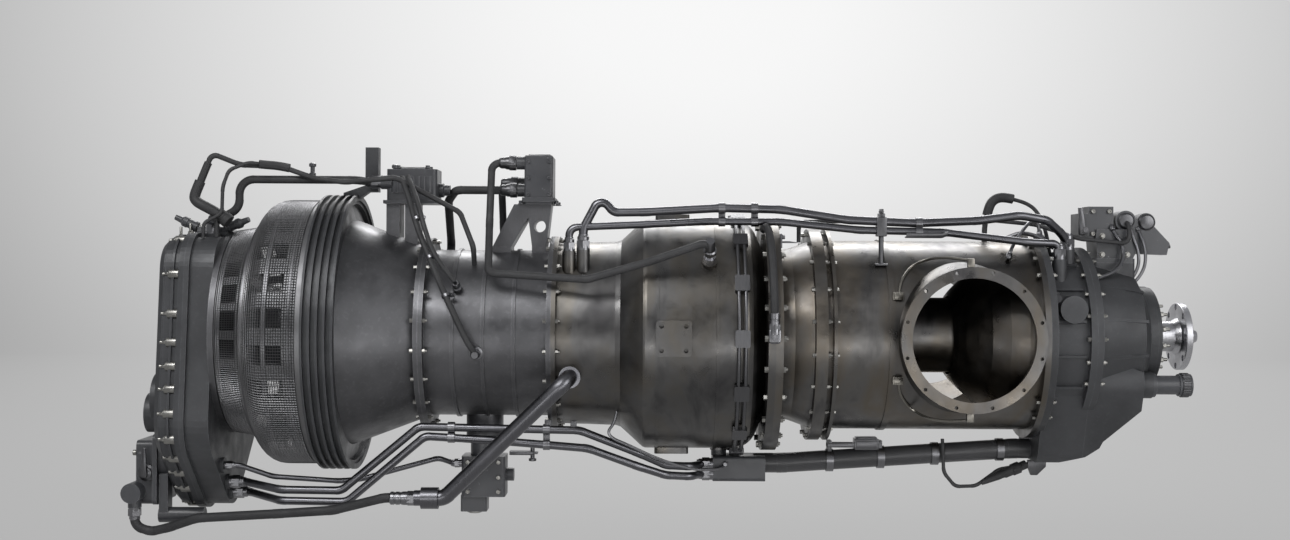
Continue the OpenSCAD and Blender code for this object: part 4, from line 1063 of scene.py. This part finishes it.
DETAILS = [
    (tube_nuts, "fitting", "steel"),
    (ring_clamps, "fitting", "steel"),
    (clamp_bridges, "dark_steel", "steel"),
    (oil_bridges, "dark_steel", "steel"),
    (drain_line, "fitting", "tube_metal"),
    (flange_tongue, "dark_steel", "steel"),
    (tube_post, "dark_steel", "steel"),
    (guard_plate, "dark_steel", "steel"),
    (hose_ends, "fitting", "steel"),
    (igniter_couplings, "dark_steel", "steel"),
    (plug_caps, "fitting", "steel"),
    (loom_boots, "rubber", "hose_rubber"),
    (port_wires, "lead", "tube_metal"),
    (chip_lead_boot, "rubber", "hose_rubber"),
    (governor_lines, "fitting", "tube_metal"),
    (gearbox_loom, "rubber", "hose_rubber"),
    (pressure_lines, "fitting", "tube_metal"),
    (case_hose, "hose", "hose_rubber"),
    (case_hose_end, "fitting", "steel"),
    (scavenge_rack, "dark_steel", "steel"),
    (scavenge_bands, "fitting", "steel"),
    (bleed_arm, "dark_steel", "steel"),
    (tail_bracket, "dark_steel", "steel"),
    (side_lug, "dark_steel", "steel"),
    (gearbox_cover_lugs, "bolt", "steel"),
    (top_terminal, "unit", "dark_unit"),
    (lifting_studs, "bolt", "steel"),
    (pump_screws, "bolt", "steel"),
    (pump_lever, "dark_steel", "steel"),
    (governor_screws, "bolt", "steel"),
    (governor_trim, "dark_steel", "steel"),
    (exciter_trim, "unit", "dark_unit"),
    (heater_trim, "unit", "dark_unit"),
    (valve_trim, "bolt", "steel"),
    (screen_hoops, "dark_steel", "screen_wire"),
    (screen_cloth, "screen", "screen_wire"),
    (sensor_knurl, "dark_steel", "steel"),
    (fire_seal_nuts, "bolt", "steel"),
    (front_studs, "bolt", "steel"),
]
for make, finish, slot in DETAILS:
    fit(make(), finish)
leads, ties = side_leads()
fit(leads, "loom")
fit(ties, "fitting")

# ---------------------------------------------------------------- studio

# In metres
FLOOR_Z = -0.46
WALL_Y = 9.0
WALL_HIGH = 6.0
COVE_R = 1.6

# The glow that the camera sees on the sweep: an ellipsoid that fades outwards from its middle
GLOW_PLACE = (-0.044, -0.72, -0.44)
GLOW_SCALE = (0.137, 0.038, 0.205)
GLOW_TONES = ((0.3, 1.0), (0.4, 0.95), (0.6, 0.75), (0.8, 0.56), (1.0, 0.36))
GLOW_SHARE = 0.96

# Name, place, point that it faces, size and power in watts
LIGHTS = [
    ("key", (-1.6, -2.6, 2.4), (0, 0, 0), (2.4, 1.4), 90),
    ("fill", (2.4, -2.4, 0.8), (0.2, 0, 0), (1.8, 1.8), 40),
    ("rim", (0.3, 2.2, 2.2), (0, 0, 0.1), (3.2, 1.0), 90),
    ("under", (0.0, -1.6, -0.42), (0, 0, -0.1), (2.6, 0.6), 14),
]


def build_studio():
    """A pale seamless sweep: a floor whose back edge is drawn up and rounded into a wall."""
    alone()
    bpy.ops.mesh.primitive_plane_add(size=2 * WALL_Y, location=(0, 0, FLOOR_Z))
    sweep = opened("studio_sweep")
    bpy.ops.mesh.select_mode(type="EDGE")
    pick_edges(sweep, lambda middle: middle.y > WALL_Y - 0.01)
    bpy.ops.mesh.extrude_region_move(TRANSFORM_OT_translate={"value": (0, 0, WALL_HIGH)})
    pick_edges(sweep, lambda middle: middle.y > WALL_Y - 0.01 and middle.z < FLOOR_Z + 0.01)
    bpy.ops.mesh.bevel(offset=COVE_R, offset_type="OFFSET", segments=24, affect="EDGES")
    bpy.ops.object.mode_set(mode="OBJECT")
    bpy.ops.object.shade_smooth()
    f = Finish("pale_sweep")
    f.shader.inputs["Base Color"].default_value = (0.8, 0.8, 0.8, 1.0)
    f.shader.inputs["Roughness"].default_value = 0.9
    place = f.node("ShaderNodeMapping")
    place.inputs["Location"].default_value = GLOW_PLACE
    place.inputs["Scale"].default_value = GLOW_SCALE
    f.link(f.where, place.inputs["Vector"])
    far = f.node("ShaderNodeVectorMath", operation="LENGTH")
    f.link(place.outputs["Vector"], far.inputs[0])
    glow = f.ramp(far.outputs["Value"], [(at, (tone, tone, tone)) for at, tone in GLOW_TONES])
    light = f.node("ShaderNodeEmission")
    f.link(glow, light.inputs["Color"])
    seen = f.node("ShaderNodeLightPath")
    shown = seen.outputs["Is Camera Ray"]
    for ray in ("Is Glossy Ray", "Is Transmission Ray"):
        either = f.node("ShaderNodeMath", operation="MAXIMUM")
        f.link(shown, either.inputs[0])
        f.link(seen.outputs[ray], either.inputs[1])
        shown = either.outputs["Value"]
    share = f.node("ShaderNodeMath", operation="MULTIPLY")
    f.link(shown, share.inputs[0])
    share.inputs[1].default_value = GLOW_SHARE
    blend = f.node("ShaderNodeMixShader")
    f.link(share.outputs["Value"], blend.inputs["Fac"])
    f.link(f.shader.outputs["BSDF"], blend.inputs[1])
    f.link(light.outputs["Emission"], blend.inputs[2])
    f.link(blend.outputs["Shader"], f.tree.nodes["Material Output"].inputs["Surface"])
    sweep.data.materials.append(f.mat)


def soft_light(name, place, aim, size, power):
    alone()
    turn = (Vector(aim) - Vector(place)).to_track_quat("-Z", "Y").to_euler()
    bpy.ops.object.light_add(type="AREA", location=place, rotation=turn)
    lamp = bpy.context.object
    lamp.name = lamp.data.name = name
    lamp.data.shape = "RECTANGLE"
    lamp.data.size, lamp.data.size_y = size
    lamp.data.energy = power


def build_camera():
    alone()
    bpy.ops.object.camera_add(
        location=(-0.05, -2.88, 0.117), rotation=(math.radians(90), math.radians(-0.33), 0.0))
    camera = bpy.context.object
    camera.name = camera.data.name = "camera"
    camera.data.lens = 43.45
    camera.data.sensor_width = 36.0
    camera.data.clip_end = 60.0
    bpy.context.scene.camera = camera


build_studio()
for lamp_settings in LIGHTS:
    soft_light(*lamp_settings)
build_camera()

world = bpy.data.worlds.new("room")
world.use_nodes = True
world.node_tree.nodes["Background"].inputs["Color"].default_value = (0.75, 0.76, 0.78, 1.0)
world.node_tree.nodes["Background"].inputs["Strength"].default_value = 0.45
bpy.context.scene.world = world
bpy.context.scene.view_settings.view_transform = "Standard"
